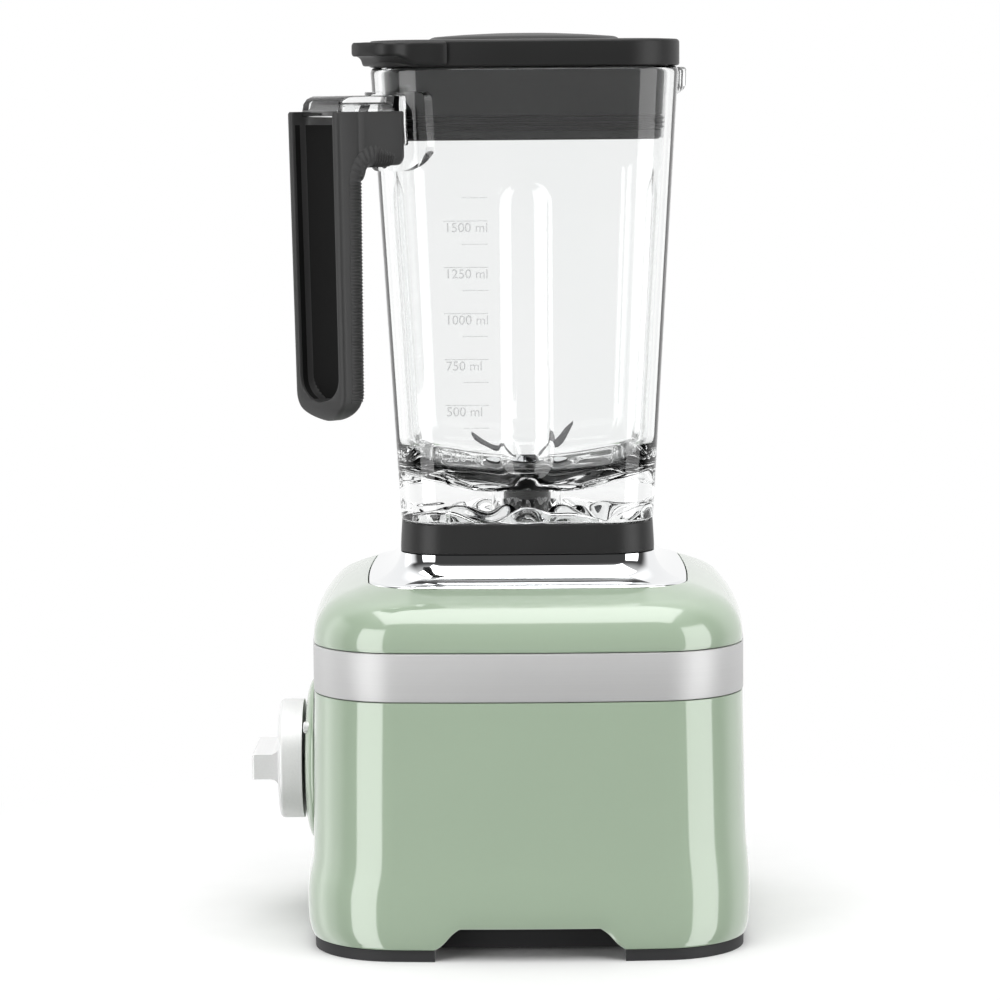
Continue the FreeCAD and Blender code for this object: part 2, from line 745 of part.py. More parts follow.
def blade(reach, tip_rise, half_width, level, thick, spin, sweep=0.5):
    """One bent, pointed blade from the spindle outwards."""
    bend = 9.0
    side = [Vector(0, -20, level), Vector(bend, -20, level), Vector(reach, -20, level + tip_rise),
            Vector(reach, -20, level + tip_rise + thick), Vector(bend, -20, level + thick),
            Vector(0, -20, level + thick)]
    sheet_metal = prism(side, Vector(0, 40, 0))
    low, high = level - 30, level + 60
    plan = [Vector(0, -half_width, low), Vector(bend + 3, -half_width, low),
            Vector(reach, sweep * half_width, low), Vector(reach - 3, half_width * 0.95, low),
            Vector(bend, half_width, low), Vector(0, half_width, low)]
    shape = sheet_metal.common(prism(plan, Vector(0, 0, high - low)))
    shape.rotate(Vector(0, 0, 0), Vector(0, 0, 1), spin)
    return shape


def blade_pair(level, arms):
    hub = rod(7.5, Vector(0, 0, level), Vector(0, 0, level + 1.6))
    pair = hub.fuse([blade(reach, rise, 5.6, level, 1.6, spin) for reach, rise, spin in arms])
    return pair.cut(rod(3.05, Vector(0, 0, level - 5), Vector(0, 0, level + 9))).removeSplitter()


# ---------------------------------------------------------------- sub-parts: base

def make_base():
    shells = {
        "lower_housing": lower_housing, "trim_band": trim_band, "top_shell": top_shell,
        "jar_pad": jar_pad, "damping_mat": damping_mat, "bottom_cover": bottom_cover,
        "feet": feet,
    }
    for label, maker in shells.items():
        subpart(freeform(label, maker()), label)

    cover_top = dim("foot_height") + 3
    subpart(around("cover_screws",
                   lambda n, x, y: fuse(n, cylinder(n + "_head", 4.0, 3.2, dim("foot_height"), x, y),
                                        cylinder(n + "_shank", 2.0, dim("foot_height"), 20.0, x, y)),
                   four(66.0)), "cover_screws")
    subpart(around("motor_mounts",
                   lambda n, x, y: tube(n, 8.0, 2.4, cover_top, 28.0, x, y),
                   four(dim("bolt_offset"))), "motor_mounts")


def make_motor():
    shaft, fit = dim("shaft_radius"), dim("running_fit")
    ring, length = dim("bearing_radius"), dim("bearing_length")
    low, high = dim("lower_bearing_level"), dim("upper_bearing_level")
    offset = dim("bolt_offset")

    def bearing(name, level):
        return turned(name, [(shaft + fit, level), (ring, level), (ring, level + length),
                             (shaft + fit, level + length)])

    subpart(bearing("lower_bearing", low), "lower_bearing")
    subpart(bearing("upper_bearing", high), "upper_bearing")

    def bracket(name, plate_low, plate_high, seat_low, seat_high, size, lip):
        plate = fuse(name + "_body", cuboid(name + "_plate", size, size, plate_low, plate_high),
                     cylinder(name + "_seat", ring + 3, seat_low, seat_high))
        seat = cut(name + "_seated", plate, cylinder(name + "_bore", ring, *lip))
        seat = cut(name + "_drilled", seat, cylinder(name + "_eye", shaft + 3, 20, 160))
        holes = around(name + "_holes",
                       lambda n, x, y: cylinder(n, 2.2, 20, 160, x, y), four(offset))
        return cut(name, seat, holes)

    subpart(bracket("lower_bracket", 28.0, 32.0, 28.0, low + length, 88, (low, low + 20)),
            "lower_bracket")
    subpart(bracket("upper_bracket", 136.0, 140.0, 136.0, high + length, 88, (high, high + 20)),
            "upper_bracket")
    subpart(around("motor_bolts",
                   lambda n, x, y: fuse(n, cylinder(n + "_rod", 2.0, 24.0, 142.0, x, y),
                                        cylinder(n + "_nut", 3.6, 140.0, 143.2, x, y)),
                   four(offset)), "motor_bolts")

    stack_low, stack_high = dim("stator_low"), dim("stator_high")
    stator = tube("stator_ring", dim("stator_radius"), dim("stator_bore"), stack_low, stack_high)
    wire_ways = group("stator_ways", *[
        cuboid(f"stator_way_{i}", 14, 12, 20, 160, 0, y) for i, y in enumerate((31.0, -31.0))])
    subpart(cut("motor_stator", stator, wire_ways), "motor_stator")
    coils = [tube("coil_top", 40.0, 27.0, stack_high, stack_high + 10),
             tube("coil_bottom", 40.0, 27.0, stack_low - 10, stack_low)]
    subpart(group("field_windings", *coils), "field_windings")

    axle = turned("motor_shaft", [(0, 31.0), (shaft, 31.0), (shaft, 183.0), (0, 183.0)])
    subpart(axle, "motor_shaft")
    core = turned("armature_core", [(shaft, stack_low), (dim("armature_radius"), stack_low),
                                    (dim("armature_radius"), stack_high), (shaft, stack_high)])
    subpart(core, "armature_core")
    subpart(group("armature_windings",
                  tube("winding_top", 20.0, shaft, stack_high, stack_high + 8),
                  tube("winding_bottom", 20.0, shaft, stack_low - 8, stack_low)),
            "armature_windings")
    drum = dim("commutator_radius")
    subpart(turned("commutator", [(shaft, 44.0), (drum, 44.0), (drum, 56.0), (shaft, 56.0)]),
            "commutator")
    face = drum + 0.1
    brushes = [cuboid(f"brush_{i}", 15, 6, 47, 53, side * (face + 7.5))
               for i, side in enumerate((1, -1))]
    subpart(group("carbon_brushes", *brushes), "carbon_brushes")
    holders = []
    for i, side in enumerate((1, -1)):
        body = cuboid(f"holder_block_{i}", 16, 11, 44.4, 55.6, side * 24.5)
        slot = cuboid(f"holder_slot_{i}", 30, 6.1, 46.95, 53.05, side * 24.5)
        holders.append(cut(f"holder_{i}", body, slot))
    subpart(group("brush_holders", *holders), "brush_holders")
    subpart(freeform("cooling_fan", cooling_fan()), "cooling_fan")
    subpart(drive_coupler(), "drive_coupler")


def cooling_fan():
    hub = rod(9.0, Vector(0, 0, 123.0), Vector(0, 0, 133.0))
    disc = rod(mm("fan_radius"), Vector(0, 0, 123.0), Vector(0, 0, 124.6))
    vanes = []
    for i in range(11):
        vane = block(8.0, mm("fan_radius") - 1, -0.8, 0.8, 124.0, 133.0)
        vane.rotate(Vector(12, 0, 0), Vector(0, 0, 1), 24)
        vane.rotate(Vector(0, 0, 0), Vector(0, 0, 1), i * 360 / 11)
        vanes.append(vane)
    limit = rod(mm("fan_radius"), Vector(0, 0, 120), Vector(0, 0, 134))
    fan = hub.fuse(vanes).common(limit).fuse(disc)
    return fan.cut(rod(mm("shaft_radius"), Vector(0, 0, 100), Vector(0, 0, 150))).removeSplitter()


def padded_circle(body, name, radius, low, high, plane="XY_Plane"):
    """Adds a round pad to a body, from one height to another."""
    sketch = body.newObject("Sketcher::SketchObject", name + "_sketch")
    sketch.AttachmentSupport = [(origin_plane(body, plane), "")]
    sketch.MapMode = "FlatFace"
    bind(sketch, AttachmentOffset__Base__z=low)
    sketch.addGeometry(Part.Circle(Vector(0, 0, 0), Vector(0, 0, 1), radius.value), False)
    sketch.addConstraint(Sketcher.Constraint("Coincident", 0, 3, -1, 1))
    mark = sketch.addConstraint(Sketcher.Constraint("Radius", 0, radius.value))
    sketch.setExpression(f"Constraints[{mark}]", radius.text)
    pad = body.newObject("PartDesign::Pad", name)
    pad.Profile = sketch
    bind(pad, Length=as_size(high) - low)
    return pad


def toothed(body, name, kind, inner, outer, half_width, low, high):
    """Six straight teeth or slots around a body: one pad or pocket and its polar pattern."""
    sketch = body.newObject("Sketcher::SketchObject", name + "_sketch")
    sketch.AttachmentSupport = [(origin_plane(body, "XY_Plane"), "")]
    sketch.MapMode = "FlatFace"
    bind(sketch, AttachmentOffset__Base__z=low)
    near, far, half = as_size(inner), as_size(outer), as_size(half_width)
    spots = [(near, -half), (far, -half), (far, half), (near, half)]
    points = [Vector(x.value, y.value, 0) for x, y in spots]
    for i in range(4):
        sketch.addGeometry(Part.LineSegment(points[i], points[(i + 1) % 4]), False)
    for i in range(4):
        sketch.addConstraint(Sketcher.Constraint("Coincident", i, 2, (i + 1) % 4, 1))
    for i, (x, y) in enumerate(spots):
        mark = sketch.addConstraint(Sketcher.Constraint("DistanceX", -1, 1, i, 1, x.value))
        sketch.setExpression(f"Constraints[{mark}]", x.text)
        mark = sketch.addConstraint(Sketcher.Constraint("DistanceY", -1, 1, i, 1, y.value))
        sketch.setExpression(f"Constraints[{mark}]", y.text)
    feature = body.newObject(f"PartDesign::{kind}", name)
    feature.Profile = sketch
    if kind == "Pocket":
        feature.Reversed = True
    bind(feature, Length=as_size(high) - low)
    doc.recompute()
    pattern = body.newObject("PartDesign::PolarPattern", name + "_ring")
    pattern.Originals = [feature]
    pattern.Axis = (sketch, ["N_Axis"])
    pattern.Angle = 360
    pattern.Occurrences = 6
    body.Tip = pattern
    return pattern


def drive_coupler():
    """The six-toothed metal driver on the motor shaft."""
    body = doc.addObject("PartDesign::Body", "drive_coupler")
    core = dim("coupler_radius")
    padded_circle(body, "driver_flange", as_size(13.0), 173.0, 176.0)
    padded_circle(body, "driver_core", core, 176.0, 184.0)
    toothed(body, "driver_tooth", "Pad", core - 2, core + 3, 2.0, 176.0, 184.0)
    doc.recompute()
    sleeve = body.newObject("Sketcher::SketchObject", "driver_bore_sketch")
    sleeve.AttachmentSupport = [(origin_plane(body, "XY_Plane"), "")]
    sleeve.MapMode = "FlatFace"
    bind(sleeve, AttachmentOffset__Base__z=172.0)
    sleeve.addGeometry(Part.Circle(Vector(0, 0, 0), Vector(0, 0, 1), mm("shaft_radius")), False)
    sleeve.addConstraint(Sketcher.Constraint("Coincident", 0, 3, -1, 1))
    mark = sleeve.addConstraint(Sketcher.Constraint("Radius", 0, mm("shaft_radius")))
    sleeve.setExpression(f"Constraints[{mark}]", "Dims.shaft_radius")
    bore = body.newObject("PartDesign::Pocket", "driver_bore")
    bore.Profile = sleeve
    bore.Reversed = True
    bore.Length = 11.0
    body.Tip = bore
    return body


# ---------------------------------------------------------------- sub-parts: controls

def make_controls():
    level, crown, back = dim("dial_level"), dim("bezel_crown"), dim("bezel_back")
    rim = dim("bezel_radius")
    bezel = turned("bezel_disc", [
        (4.6, back), (rim + 1.8, back), (rim + 1.8, back + 0.8), (rim, back + 0.8),
        (rim, 104.2), (rim - 0.8, 105.2), (rim - 2.6, 106.4), (rim - 6, 107.5),
        (rim - 12, 108.4), (20, crown - 0.2), (8.0, crown), (4.6, crown)])
    facing_front(bezel, level)
    button_level, button_side = level + dim("button_rise"), dim("button_side")
    slot = front_cylinder("bezel_slot", 3.1, 90, 120, button_level, button_side)
    subpart(cut("dial_bezel", bezel, slot), "dial_bezel")

    subpart(freeform("dial_knob", dial_knob()), "dial_knob")
    stem = turned("dial_shaft", [(0, 87.0), (3.0, 87.0), (3.0, 119.0), (0, 119.0)])
    subpart(facing_front(stem, level), "dial_shaft")
    can = front_box("encoder_can", 16, 16, 84.4, 92.4, level)
    neck = front_cylinder("encoder_neck", 4.4, 92.4, 96.8, level)
    way = front_cylinder("encoder_bore", 3.05, 86.8, 99, level)
    subpart(cut("speed_encoder", fuse("encoder_solid", can, neck), way), "speed_encoder")
    subpart(front_box("control_board", 84, 64, 82.8, 84.4, level + 4), "control_board")

    push = turned("push_turned", [(0, 95.2), (4.2, 95.2), (4.2, 97.2), (2.8, 97.2),
                                  (2.8, 107.9), (2.2, 108.4), (0, 108.6)])
    facing_front(push, button_level, button_side)
    subpart(push, "start_button")
    subpart(front_box("start_switch", 7, 7, 84.4, 92.0, button_level, button_side), "start_switch")

    gland = turned("cord_gland", [(3.9, 97.8), (10.0, 97.8), (10.0, 102.4), (7.8, 102.4),
                                  (7.8, 106.8), (7.0, 107.6), (3.9, 107.6)])
    gland.Placement = Placement(Vector(0, 0, 28.0), Rotation(Vector(1, 0, 0), -90))
    subpart(gland, "cord_gland")


def dial_knob():
    """A round knob whose straight grip bar flows into the disc through hollow coves."""
    level, back, front = mm("dial_level"), mm("knob_back"), mm("knob_front")
    nose, half_length, half_thick = mm("grip_front"), mm("grip_length") / 2, mm("grip_thick") / 2
    disc = Part.makeCylinder(mm("knob_radius"), front - back, Vector(0, 0, back))
    rims = [e for e in disc.Edges if e.BoundBox.ZLength < 0.01 and e.BoundBox.ZMin > front - 0.1]
    disc = disc.makeFillet(2.2, rims)
    foot = half_thick + 4.6
    cove = 5.2
    base_z = front - 0.6
    left = [Vector(0, -foot, base_z), Vector(0, -half_thick - 1.4, base_z + 1.3),
            Vector(0, -half_thick, base_z + cove)]
    right = [Vector(0, -p.y, p.z) for p in reversed(left)]
    wire = Part.Wire([
        Part.Arc(*left).toShape(),
        Part.makeLine(left[2], Vector(0, -half_thick, nose)),
        Part.makeLine(Vector(0, -half_thick, nose), Vector(0, half_thick, nose)),
        Part.makeLine(Vector(0, half_thick, nose), right[0]),
        Part.Arc(*right).toShape(),
        Part.makeLine(right[2], Vector(0, foot, base_z - 2)),
        Part.makeLine(Vector(0, foot, base_z - 2), Vector(0, -foot, base_z - 2)),
        Part.makeLine(Vector(0, -foot, base_z - 2), left[0]),
    ])
    bar = Part.Face(wire).extrude(Vector(2 * half_length, 0, 0))
    bar.translate(Vector(-half_length, 0, 0))
    nose_edges = [e for e in bar.Edges if e.BoundBox.ZMin > nose - 0.01]
    bar = bar.makeFillet(1.1, nose_edges)
    reach = Part.makeCylinder(mm("knob_radius") - 1.2, nose - back, Vector(0, 0, back + 2))
    knob = disc.fuse(bar.common(reach))
    knob = knob.cut(Part.makeCylinder(3.0, 9.5, Vector(0, 0, back - 0.1)))
    knob = knob.removeSplitter()
    knob.rotate(Vector(0, 0, 0), Vector(1, 0, 0), 90)
    knob.translate(Vector(0, 0, level))
    return knob


# ---------------------------------------------------------------- sub-parts: jar, blades, lid

def make_jar():
    subpart(freeform("glass_jar", glass_jar()), "glass_jar")
    subpart(freeform("jar_collar", jar_collar()), "jar_collar")
    subpart(freeform("handle_grip", handle_grip()), "handle_grip")
    floor = dim("jar_floor")
    hole = dim("hub_hole")
    body = hole - 1.2
    subpart(turned("blade_housing", [
        (6.5, 188.6), (body, 188.6), (body, floor + 1.5), (21.0, floor + 1.5), (21.0, floor + 2.4),
        (16.0, floor + 3.0), (11.5, floor + 4.0), (10.0, floor + 5.0), (6.5, floor + 5.0)]),
        "blade_housing")
    gasket = fuse("floor_gasket", tube("gasket_ring", 21.4, body + 0.01, floor, floor + 1.5),
                  tube("gasket_sleeve", hole - 0.05, body + 0.01, dim("jar_foot_bottom"), floor))
    subpart(gasket, "floor_gasket")
    subpart(tube("retaining_nut", 24.0, body, 189.0, dim("jar_foot_bottom") - 0.1), "retaining_nut")
    bush, pin = 6.5, 4.0
    fit = dim("running_fit")
    subpart(group("spindle_bushings",
                  tube("bushing_top", bush, fit + pin, floor - 3, floor + 5),
                  tube("bushing_bottom", bush, fit + pin, 189.0, 196.0)), "spindle_bushings")
    subpart(turned("spindle_seal", [(4.05, 198.0), (6.5, 198.0), (6.5, 201.0), (4.05, 201.0)]),
            "spindle_seal")

    deck = floor + 5.4
    subpart(turned("blade_spindle", [
        (0, 184.6), (pin, 184.6), (pin, deck), (3.0, deck), (3.0, deck + 9.0), (0, deck + 9.0)]),
        "blade_spindle")
    level = mm("jar_floor") + 5.5
    subpart(freeform("lower_blades", blade_pair(level, [(26.0, -1.6, 20), (27.0, 9.0, 200)])),
            "lower_blades")
    subpart(freeform("upper_blades", blade_pair(level + 1.9, [(28.5, 15.5, 244), (26.5, 20.0, 116)])),
            "upper_blades")
    subpart(turned("blade_cap", [
        (3.05, deck + 4.0), (7.2, deck + 4.0), (7.2, deck + 8.0), (6.0, deck + 10.8),
        (3.6, deck + 12.0), (0, deck + 12.2), (0, deck + 9.3), (3.05, deck + 9.3)]), "blade_cap")
    subpart(jar_coupler(), "jar_coupler")


def jar_coupler():
    """The socket under the jar that drops over the driver's six teeth."""
    body = doc.addObject("PartDesign::Body", "jar_coupler")
    core = dim("coupler_radius")
    padded_circle(body, "socket_ring", as_size(16.5), 178.6, 188.2)
    doc.recompute()
    for name, radius, low, high in (
            ("socket_well", core + 0.4, 178.0, 184.5),
            ("socket_bore", as_size(4.0), 184.0, 189.0)):
        sketch = body.newObject("Sketcher::SketchObject", name + "_sketch")
        sketch.AttachmentSupport = [(origin_plane(body, "XY_Plane"), "")]
        sketch.MapMode = "FlatFace"
        bind(sketch, AttachmentOffset__Base__z=low)
        sketch.addGeometry(Part.Circle(Vector(0, 0, 0), Vector(0, 0, 1), radius.value), False)
        sketch.addConstraint(Sketcher.Constraint("Coincident", 0, 3, -1, 1))
        mark = sketch.addConstraint(Sketcher.Constraint("Radius", 0, radius.value))
        sketch.setExpression(f"Constraints[{mark}]", radius.text)
        well = body.newObject("PartDesign::Pocket", name)
        well.Profile = sketch
        well.Reversed = True
        well.Length = high - low
    doc.recompute()
    toothed(body, "socket_slot", "Pocket", core - 2, core + 3.5, 2.4, 178.0, 184.5)
    return body


def make_lid():
    subpart(freeform("lid_body", lid_body()), "lid_body")
    subpart(freeform("lid_seal", lid_seal()), "lid_seal")
    hole, crown, top = dim("lid_hole"), dim("cap_crown"), dim("lid_top")
    subpart(turned("centre_cap", [
        (0, crown - 2.6), (hole - 3.2, crown - 3.4), (hole - 3.2, 393.0), (hole - 0.5, 393.0),
        (hole - 0.5, top - 1.2), (46.2, top - 1.2), (46.2, top + 0.2), (44.0, top + 1.6),
        (30.0, crown - 0.6), (14.0, crown), (0, crown)]), "centre_cap")


def check_and_write():
    doc.recompute()
    for obj in doc.Objects:
        if "Invalid" in obj.State or "Error" in obj.State:
            raise RuntimeError(f"{obj.Name} did not compute: {obj.State}")
    for obj in SUBPARTS:
        if obj.Shape.isNull() or not obj.Shape.isValid() or obj.Shape.Volume <= 0:
            raise RuntimeError(f"{obj.Label} has no valid shape")
    os.makedirs("parts", exist_ok=True)
    for obj in SUBPARTS:
        obj.Shape.exportStep(f"parts/{obj.Label}.step")
        box = obj.Shape.BoundBox
        print(f"{obj.Label:20s} {len(obj.Shape.Solids)} solids {obj.Shape.Volume:10.0f} mm3 "
              f"x {box.XMin:.1f}..{box.XMax:.1f} y {box.YMin:.1f}..{box.YMax:.1f} "
              f"z {box.ZMin:.1f}..{box.ZMax:.1f}")


make_base()
make_motor()
make_controls()
make_jar()
make_lid()
check_and_write()
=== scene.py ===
"""Looks of the countertop blender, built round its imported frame. Metres, +Z up, dial towards -Y."""
import json
import math

import bmesh
import bpy
from mathutils import Matrix, Vector


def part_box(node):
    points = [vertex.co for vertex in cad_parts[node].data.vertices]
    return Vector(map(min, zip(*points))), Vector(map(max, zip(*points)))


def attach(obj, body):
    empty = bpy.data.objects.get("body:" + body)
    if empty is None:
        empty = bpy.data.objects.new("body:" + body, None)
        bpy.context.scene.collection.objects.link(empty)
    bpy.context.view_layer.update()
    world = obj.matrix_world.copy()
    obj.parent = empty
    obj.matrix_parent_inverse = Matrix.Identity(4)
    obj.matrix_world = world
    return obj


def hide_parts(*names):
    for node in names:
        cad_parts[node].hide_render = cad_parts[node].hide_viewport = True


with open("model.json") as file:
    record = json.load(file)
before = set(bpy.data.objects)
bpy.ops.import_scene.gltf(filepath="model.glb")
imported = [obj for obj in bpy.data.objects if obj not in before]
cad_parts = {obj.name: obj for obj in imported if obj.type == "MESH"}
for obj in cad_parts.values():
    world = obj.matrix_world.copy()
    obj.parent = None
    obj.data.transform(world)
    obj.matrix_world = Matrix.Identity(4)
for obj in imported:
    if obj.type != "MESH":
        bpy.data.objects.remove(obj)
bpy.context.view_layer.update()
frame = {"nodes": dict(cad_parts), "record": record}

MM = 0.001
HALF_ROOT = math.sqrt(0.5)


def low(node):
    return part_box(node)[0]


def high(node):
    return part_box(node)[1]


# ---------------------------------------------------------------- finishes

class Value:
    """A socket in a finish that takes part in ordinary arithmetic."""

    def __init__(self, finish, socket):
        self.finish = finish
        self.socket = socket

    def maths(self, operation, *values):
        return self.finish.node("ShaderNodeMath", {"operation": operation}, list(values))

    def __add__(self, other):
        return self.maths("ADD", self, other)

    __radd__ = __add__

    def __sub__(self, other):
        return self.maths("SUBTRACT", self, other)

    def __rsub__(self, other):
        return self.maths("SUBTRACT", other, self)

    def __mul__(self, other):
        return self.maths("MULTIPLY", self, other)

    __rmul__ = __mul__

    def power(self, exponent):
        return self.maths("POWER", self, exponent)


class Nodes:
    """A node tree that grows by calls; what each call gives back is a Value."""

    def __init__(self, tree):
        self.tree = tree

    def node(self, kind, settings=None, inputs=(), output=0):
        made = self.tree.nodes.new(kind)
        for key, value in (settings or {}).items():
            if key == "stops":
                ramp = made.color_ramp.elements
                while len(ramp) < len(value):
                    ramp.new(0.5)
                for stop, (place, colour) in zip(ramp, value):
                    stop.position = place
                    stop.color = colour
            else:
                setattr(made, key, value)
        pairs = inputs.items() if isinstance(inputs, dict) else enumerate(inputs)
        for socket, value in pairs:
            if isinstance(value, Value):
                self.tree.links.new(value.socket, made.inputs[socket])
            else:
                made.inputs[socket].default_value = value
        return Value(self, made.outputs[output])

    def smooth_step(self, value, start, end):
        """0 before the start, 1 after the end and an S-curve between them."""
        return self.node("ShaderNodeMapRange", {"interpolation_type": "SMOOTHSTEP"}, {
            "Value": value, "From Min": start, "From Max": end})

    def mix(self, share, first, second):
        return self.node("ShaderNodeMix", {"data_type": "RGBA"},
                         {"Factor": share, "A": first, "B": second}, output="Result")


class Finish(Nodes):
    """A material with a Principled surface and a few helpers for its texture nodes."""

    def __init__(self, name, **plain):
        self.material = bpy.data.materials.new(name)
        self.material.use_nodes = True
        super().__init__(self.material.node_tree)
        self.shader = self.tree.nodes["Principled BSDF"]
        for socket, value in plain.items():
            self.shader.inputs[socket.replace("_", " ")].default_value = value

    def place(self, stretch=(1, 1, 1)):
        where = self.node("ShaderNodeTexCoord", output="Object")
        return self.node("ShaderNodeMapping", inputs={"Vector": where, "Scale": stretch})

    def noise(self, scale, stretch=(1, 1, 1), detail=3.0, rough=0.5):
        return self.node("ShaderNodeTexNoise", inputs={
            "Vector": self.place(stretch), "Scale": scale, "Detail": detail, "Roughness": rough})

    def feed(self, socket, value):
        self.tree.links.new(value.socket, self.shader.inputs[socket])

    def bump(self, height, strength, distance):
        self.feed("Normal", self.node("ShaderNodeBump", inputs={
            "Strength": strength, "Distance": distance, "Height": height}))


def shade(colour, amount):
    return (colour[0] * amount, colour[1] * amount, colour[2] * amount, 1.0)


def enamel():
    """Glossy pistachio paint: a faint orange peel and slow colour drift under a clear coat."""
    green = (0.300, 0.378, 0.282)
    paint = Finish("pistachio_enamel", Roughness=0.32, Coat_Weight=1.0, Coat_Roughness=0.03,
                   Coat_IOR=1.72, Specular_IOR_Level=0.25)
    drift = paint.noise(9.0, detail=2.0)
    paint.feed("Base Color", paint.mix(drift, shade(green, 0.965), shade(green, 1.035)))
    peel = paint.noise(420.0, detail=2.0)
    dust = paint.noise(60.0, detail=4.0)
    paint.feed("Roughness", dust * 0.06 + 0.28)
    paint.bump(peel, 0.04, 0.0004)
    return paint


def brushed(name, tone, stretch, rough, depth=0.25, metallic=1.0):
    """Metal with fine lines drawn along one direction."""
    metal = Finish(name, Metallic=metallic)
    lines = metal.noise(1.0, stretch, detail=5.0, rough=0.7)
    cloud = metal.noise(14.0, detail=2.0)
    metal.feed("Base Color", metal.mix(lines, shade(tone, 0.9), shade(tone, 1.06)))
    metal.feed("Roughness", lines * 0.18 + cloud * 0.06 + (rough - 0.1))
    metal.bump(lines, depth, 0.00012)
    return metal


def chrome():
    plate = Finish("polished_chrome", Metallic=1.0)
    smear = plate.noise(24.0, detail=3.0)
    tone = (0.86, 0.87, 0.88)
    plate.feed("Base Color", plate.mix(smear, shade(tone, 0.97), shade(tone, 1.02)))
    plate.feed("Roughness", smear.power(3.0) * 0.08 + 0.025)
    return plate


def moulded(name, tone, rough, grain=900.0, depth=0.10, shine=0.32):
    """Black moulded plastic or rubber with a fine spark-eroded grain."""
    plastic = Finish(name, Specular_IOR_Level=shine)
    speck = plastic.noise(grain, detail=2.0)
    cloud = plastic.noise(18.0, detail=3.0)
    plastic.feed("Base Color", plastic.mix(cloud, shade(tone, 0.88), shade(tone, 1.14)))
    plastic.feed("Roughness", cloud * 0.10 + speck * 0.05 + (rough - 0.07))
    plastic.bump(speck, depth, 0.00015)
    return plastic


def clear_glass():
    glass = Finish("clear_glass", Transmission_Weight=1.0, IOR=1.5, Roughness=0.0,
                   Base_Color=(0.985, 0.992, 0.99, 1.0))
    ripple = glass.noise(26.0, (1, 1, 0.35), detail=1.0)
    glass.feed("Base Color", glass.mix(ripple, (0.965, 0.978, 0.975, 1), (1, 1, 1, 1)))
    glass.bump(ripple, 0.05, 0.0012)
    return glass


def printed_ink():
    ink = Finish("scale_ink")
    patch = ink.noise(700.0, detail=2.0)
    ink.feed("Base Color", ink.mix(patch, (0.46, 0.47, 0.47, 1), (0.56, 0.57, 0.57, 1)))
    ink.feed("Roughness", patch * 0.2 + 0.45)
    return ink


def wound_copper():
    copper = Finish("wound_copper", Metallic=0.8)
    turns = copper.node("ShaderNodeTexWave", {"bands_direction": "Z"}, {
        "Vector": copper.place(), "Scale": 260.0, "Distortion": 1.2, "Detail": 2.0}, output="Fac")
    copper.feed("Base Color", copper.mix(turns, (0.28, 0.10, 0.04, 1), (0.72, 0.34, 0.16, 1)))
    copper.feed("Roughness", turns * 0.15 + 0.3)
    copper.bump(turns, 0.5, 0.0004)
    return copper


def laminated_steel():
    steel = Finish("laminated_steel", Metallic=0.9)
    sheets = steel.node("ShaderNodeTexWave", {"bands_direction": "Z"}, {
        "Vector": steel.place(), "Scale": 320.0, "Distortion": 0.2}, output="Fac")
    rust = steel.noise(45.0, detail=4.0)
    steel.feed("Base Color", steel.mix(rust, (0.17, 0.17, 0.18, 1), (0.30, 0.30, 0.31, 1)))
    steel.feed("Roughness", rust * 0.2 + 0.35)
    steel.bump(sheets, 0.3, 0.0003)
    return steel


FINISHES = {
    "body_enamel": enamel(),
    "band_aluminium": brushed("brushed_aluminium", (0.50, 0.50, 0.50), (3, 3, 2600), 0.46,
                              depth=0.2, metallic=0.4),
    "skirt_chrome": chrome(),
    "damping_rubber": moulded("damping_rubber", (0.018, 0.018, 0.018), 0.7),
    "base_plastic": moulded("base_plastic", (0.016, 0.016, 0.017), 0.5),
    "foot_rubber": moulded("foot_rubber", (0.022, 0.022, 0.023), 0.62, 500.0),
    "screw_steel": brushed("machined_steel", (0.5, 0.5, 0.5), (700, 700, 40), 0.3),
    "knob_satin": brushed("satin_aluminium", (0.72, 0.72, 0.72), (2, 900, 900), 0.42,
                          depth=0.1, metallic=0.25),
    "board_laminate": moulded("board_laminate", (0.02, 0.10, 0.04), 0.4),
    "motor_steel": laminated_steel(),
    "copper_winding": wound_copper(),
    "carbon": moulded("pressed_carbon", (0.02, 0.02, 0.02), 0.6),
    "brush_brass": brushed("stamped_brass", (0.72, 0.52, 0.24), (300, 300, 60), 0.3),
    "fan_plastic": moulded("fan_plastic", (0.05, 0.05, 0.05), 0.45),
    "coupler_metal": brushed("turned_steel", (0.55, 0.55, 0.56), (60, 60, 1800), 0.28),
    "jar_glass": clear_glass(),
    "collar_plastic": moulded("collar_plastic", (0.017, 0.017, 0.017), 0.42),
    "handle_plastic": moulded("handle_plastic", (0.030, 0.030, 0.030), 0.50),
    # painted shade: near black and almost without gloss, so the lining reads as the shade deep in the
    # grip's channel
    "channel_painted_shade": moulded("channel_painted_shade", (0.011, 0.011, 0.011), 0.75, shine=0.04),
    "blade_steel": brushed("blade_steel", (0.14, 0.14, 0.145), (120, 900, 120), 0.35,
                           metallic=0.85),
    "hub_steel": chrome(),
    "lid_plastic": moulded("lid_plastic", (0.012, 0.012, 0.012), 0.44, 700.0),
    "seal_rubber": moulded("seal_rubber", (0.012, 0.012, 0.012), 0.5),
    "bush_bronze": brushed("bush_bronze", (0.5, 0.34, 0.18), (200, 200, 40), 0.35),
    "gland_rubber": moulded("gland_rubber", (0.02, 0.02, 0.02), 0.6),
    "scale_ink": printed_ink(),
}


# ---------------------------------------------------------------- mesh tools

CORNER_PASSES = 60


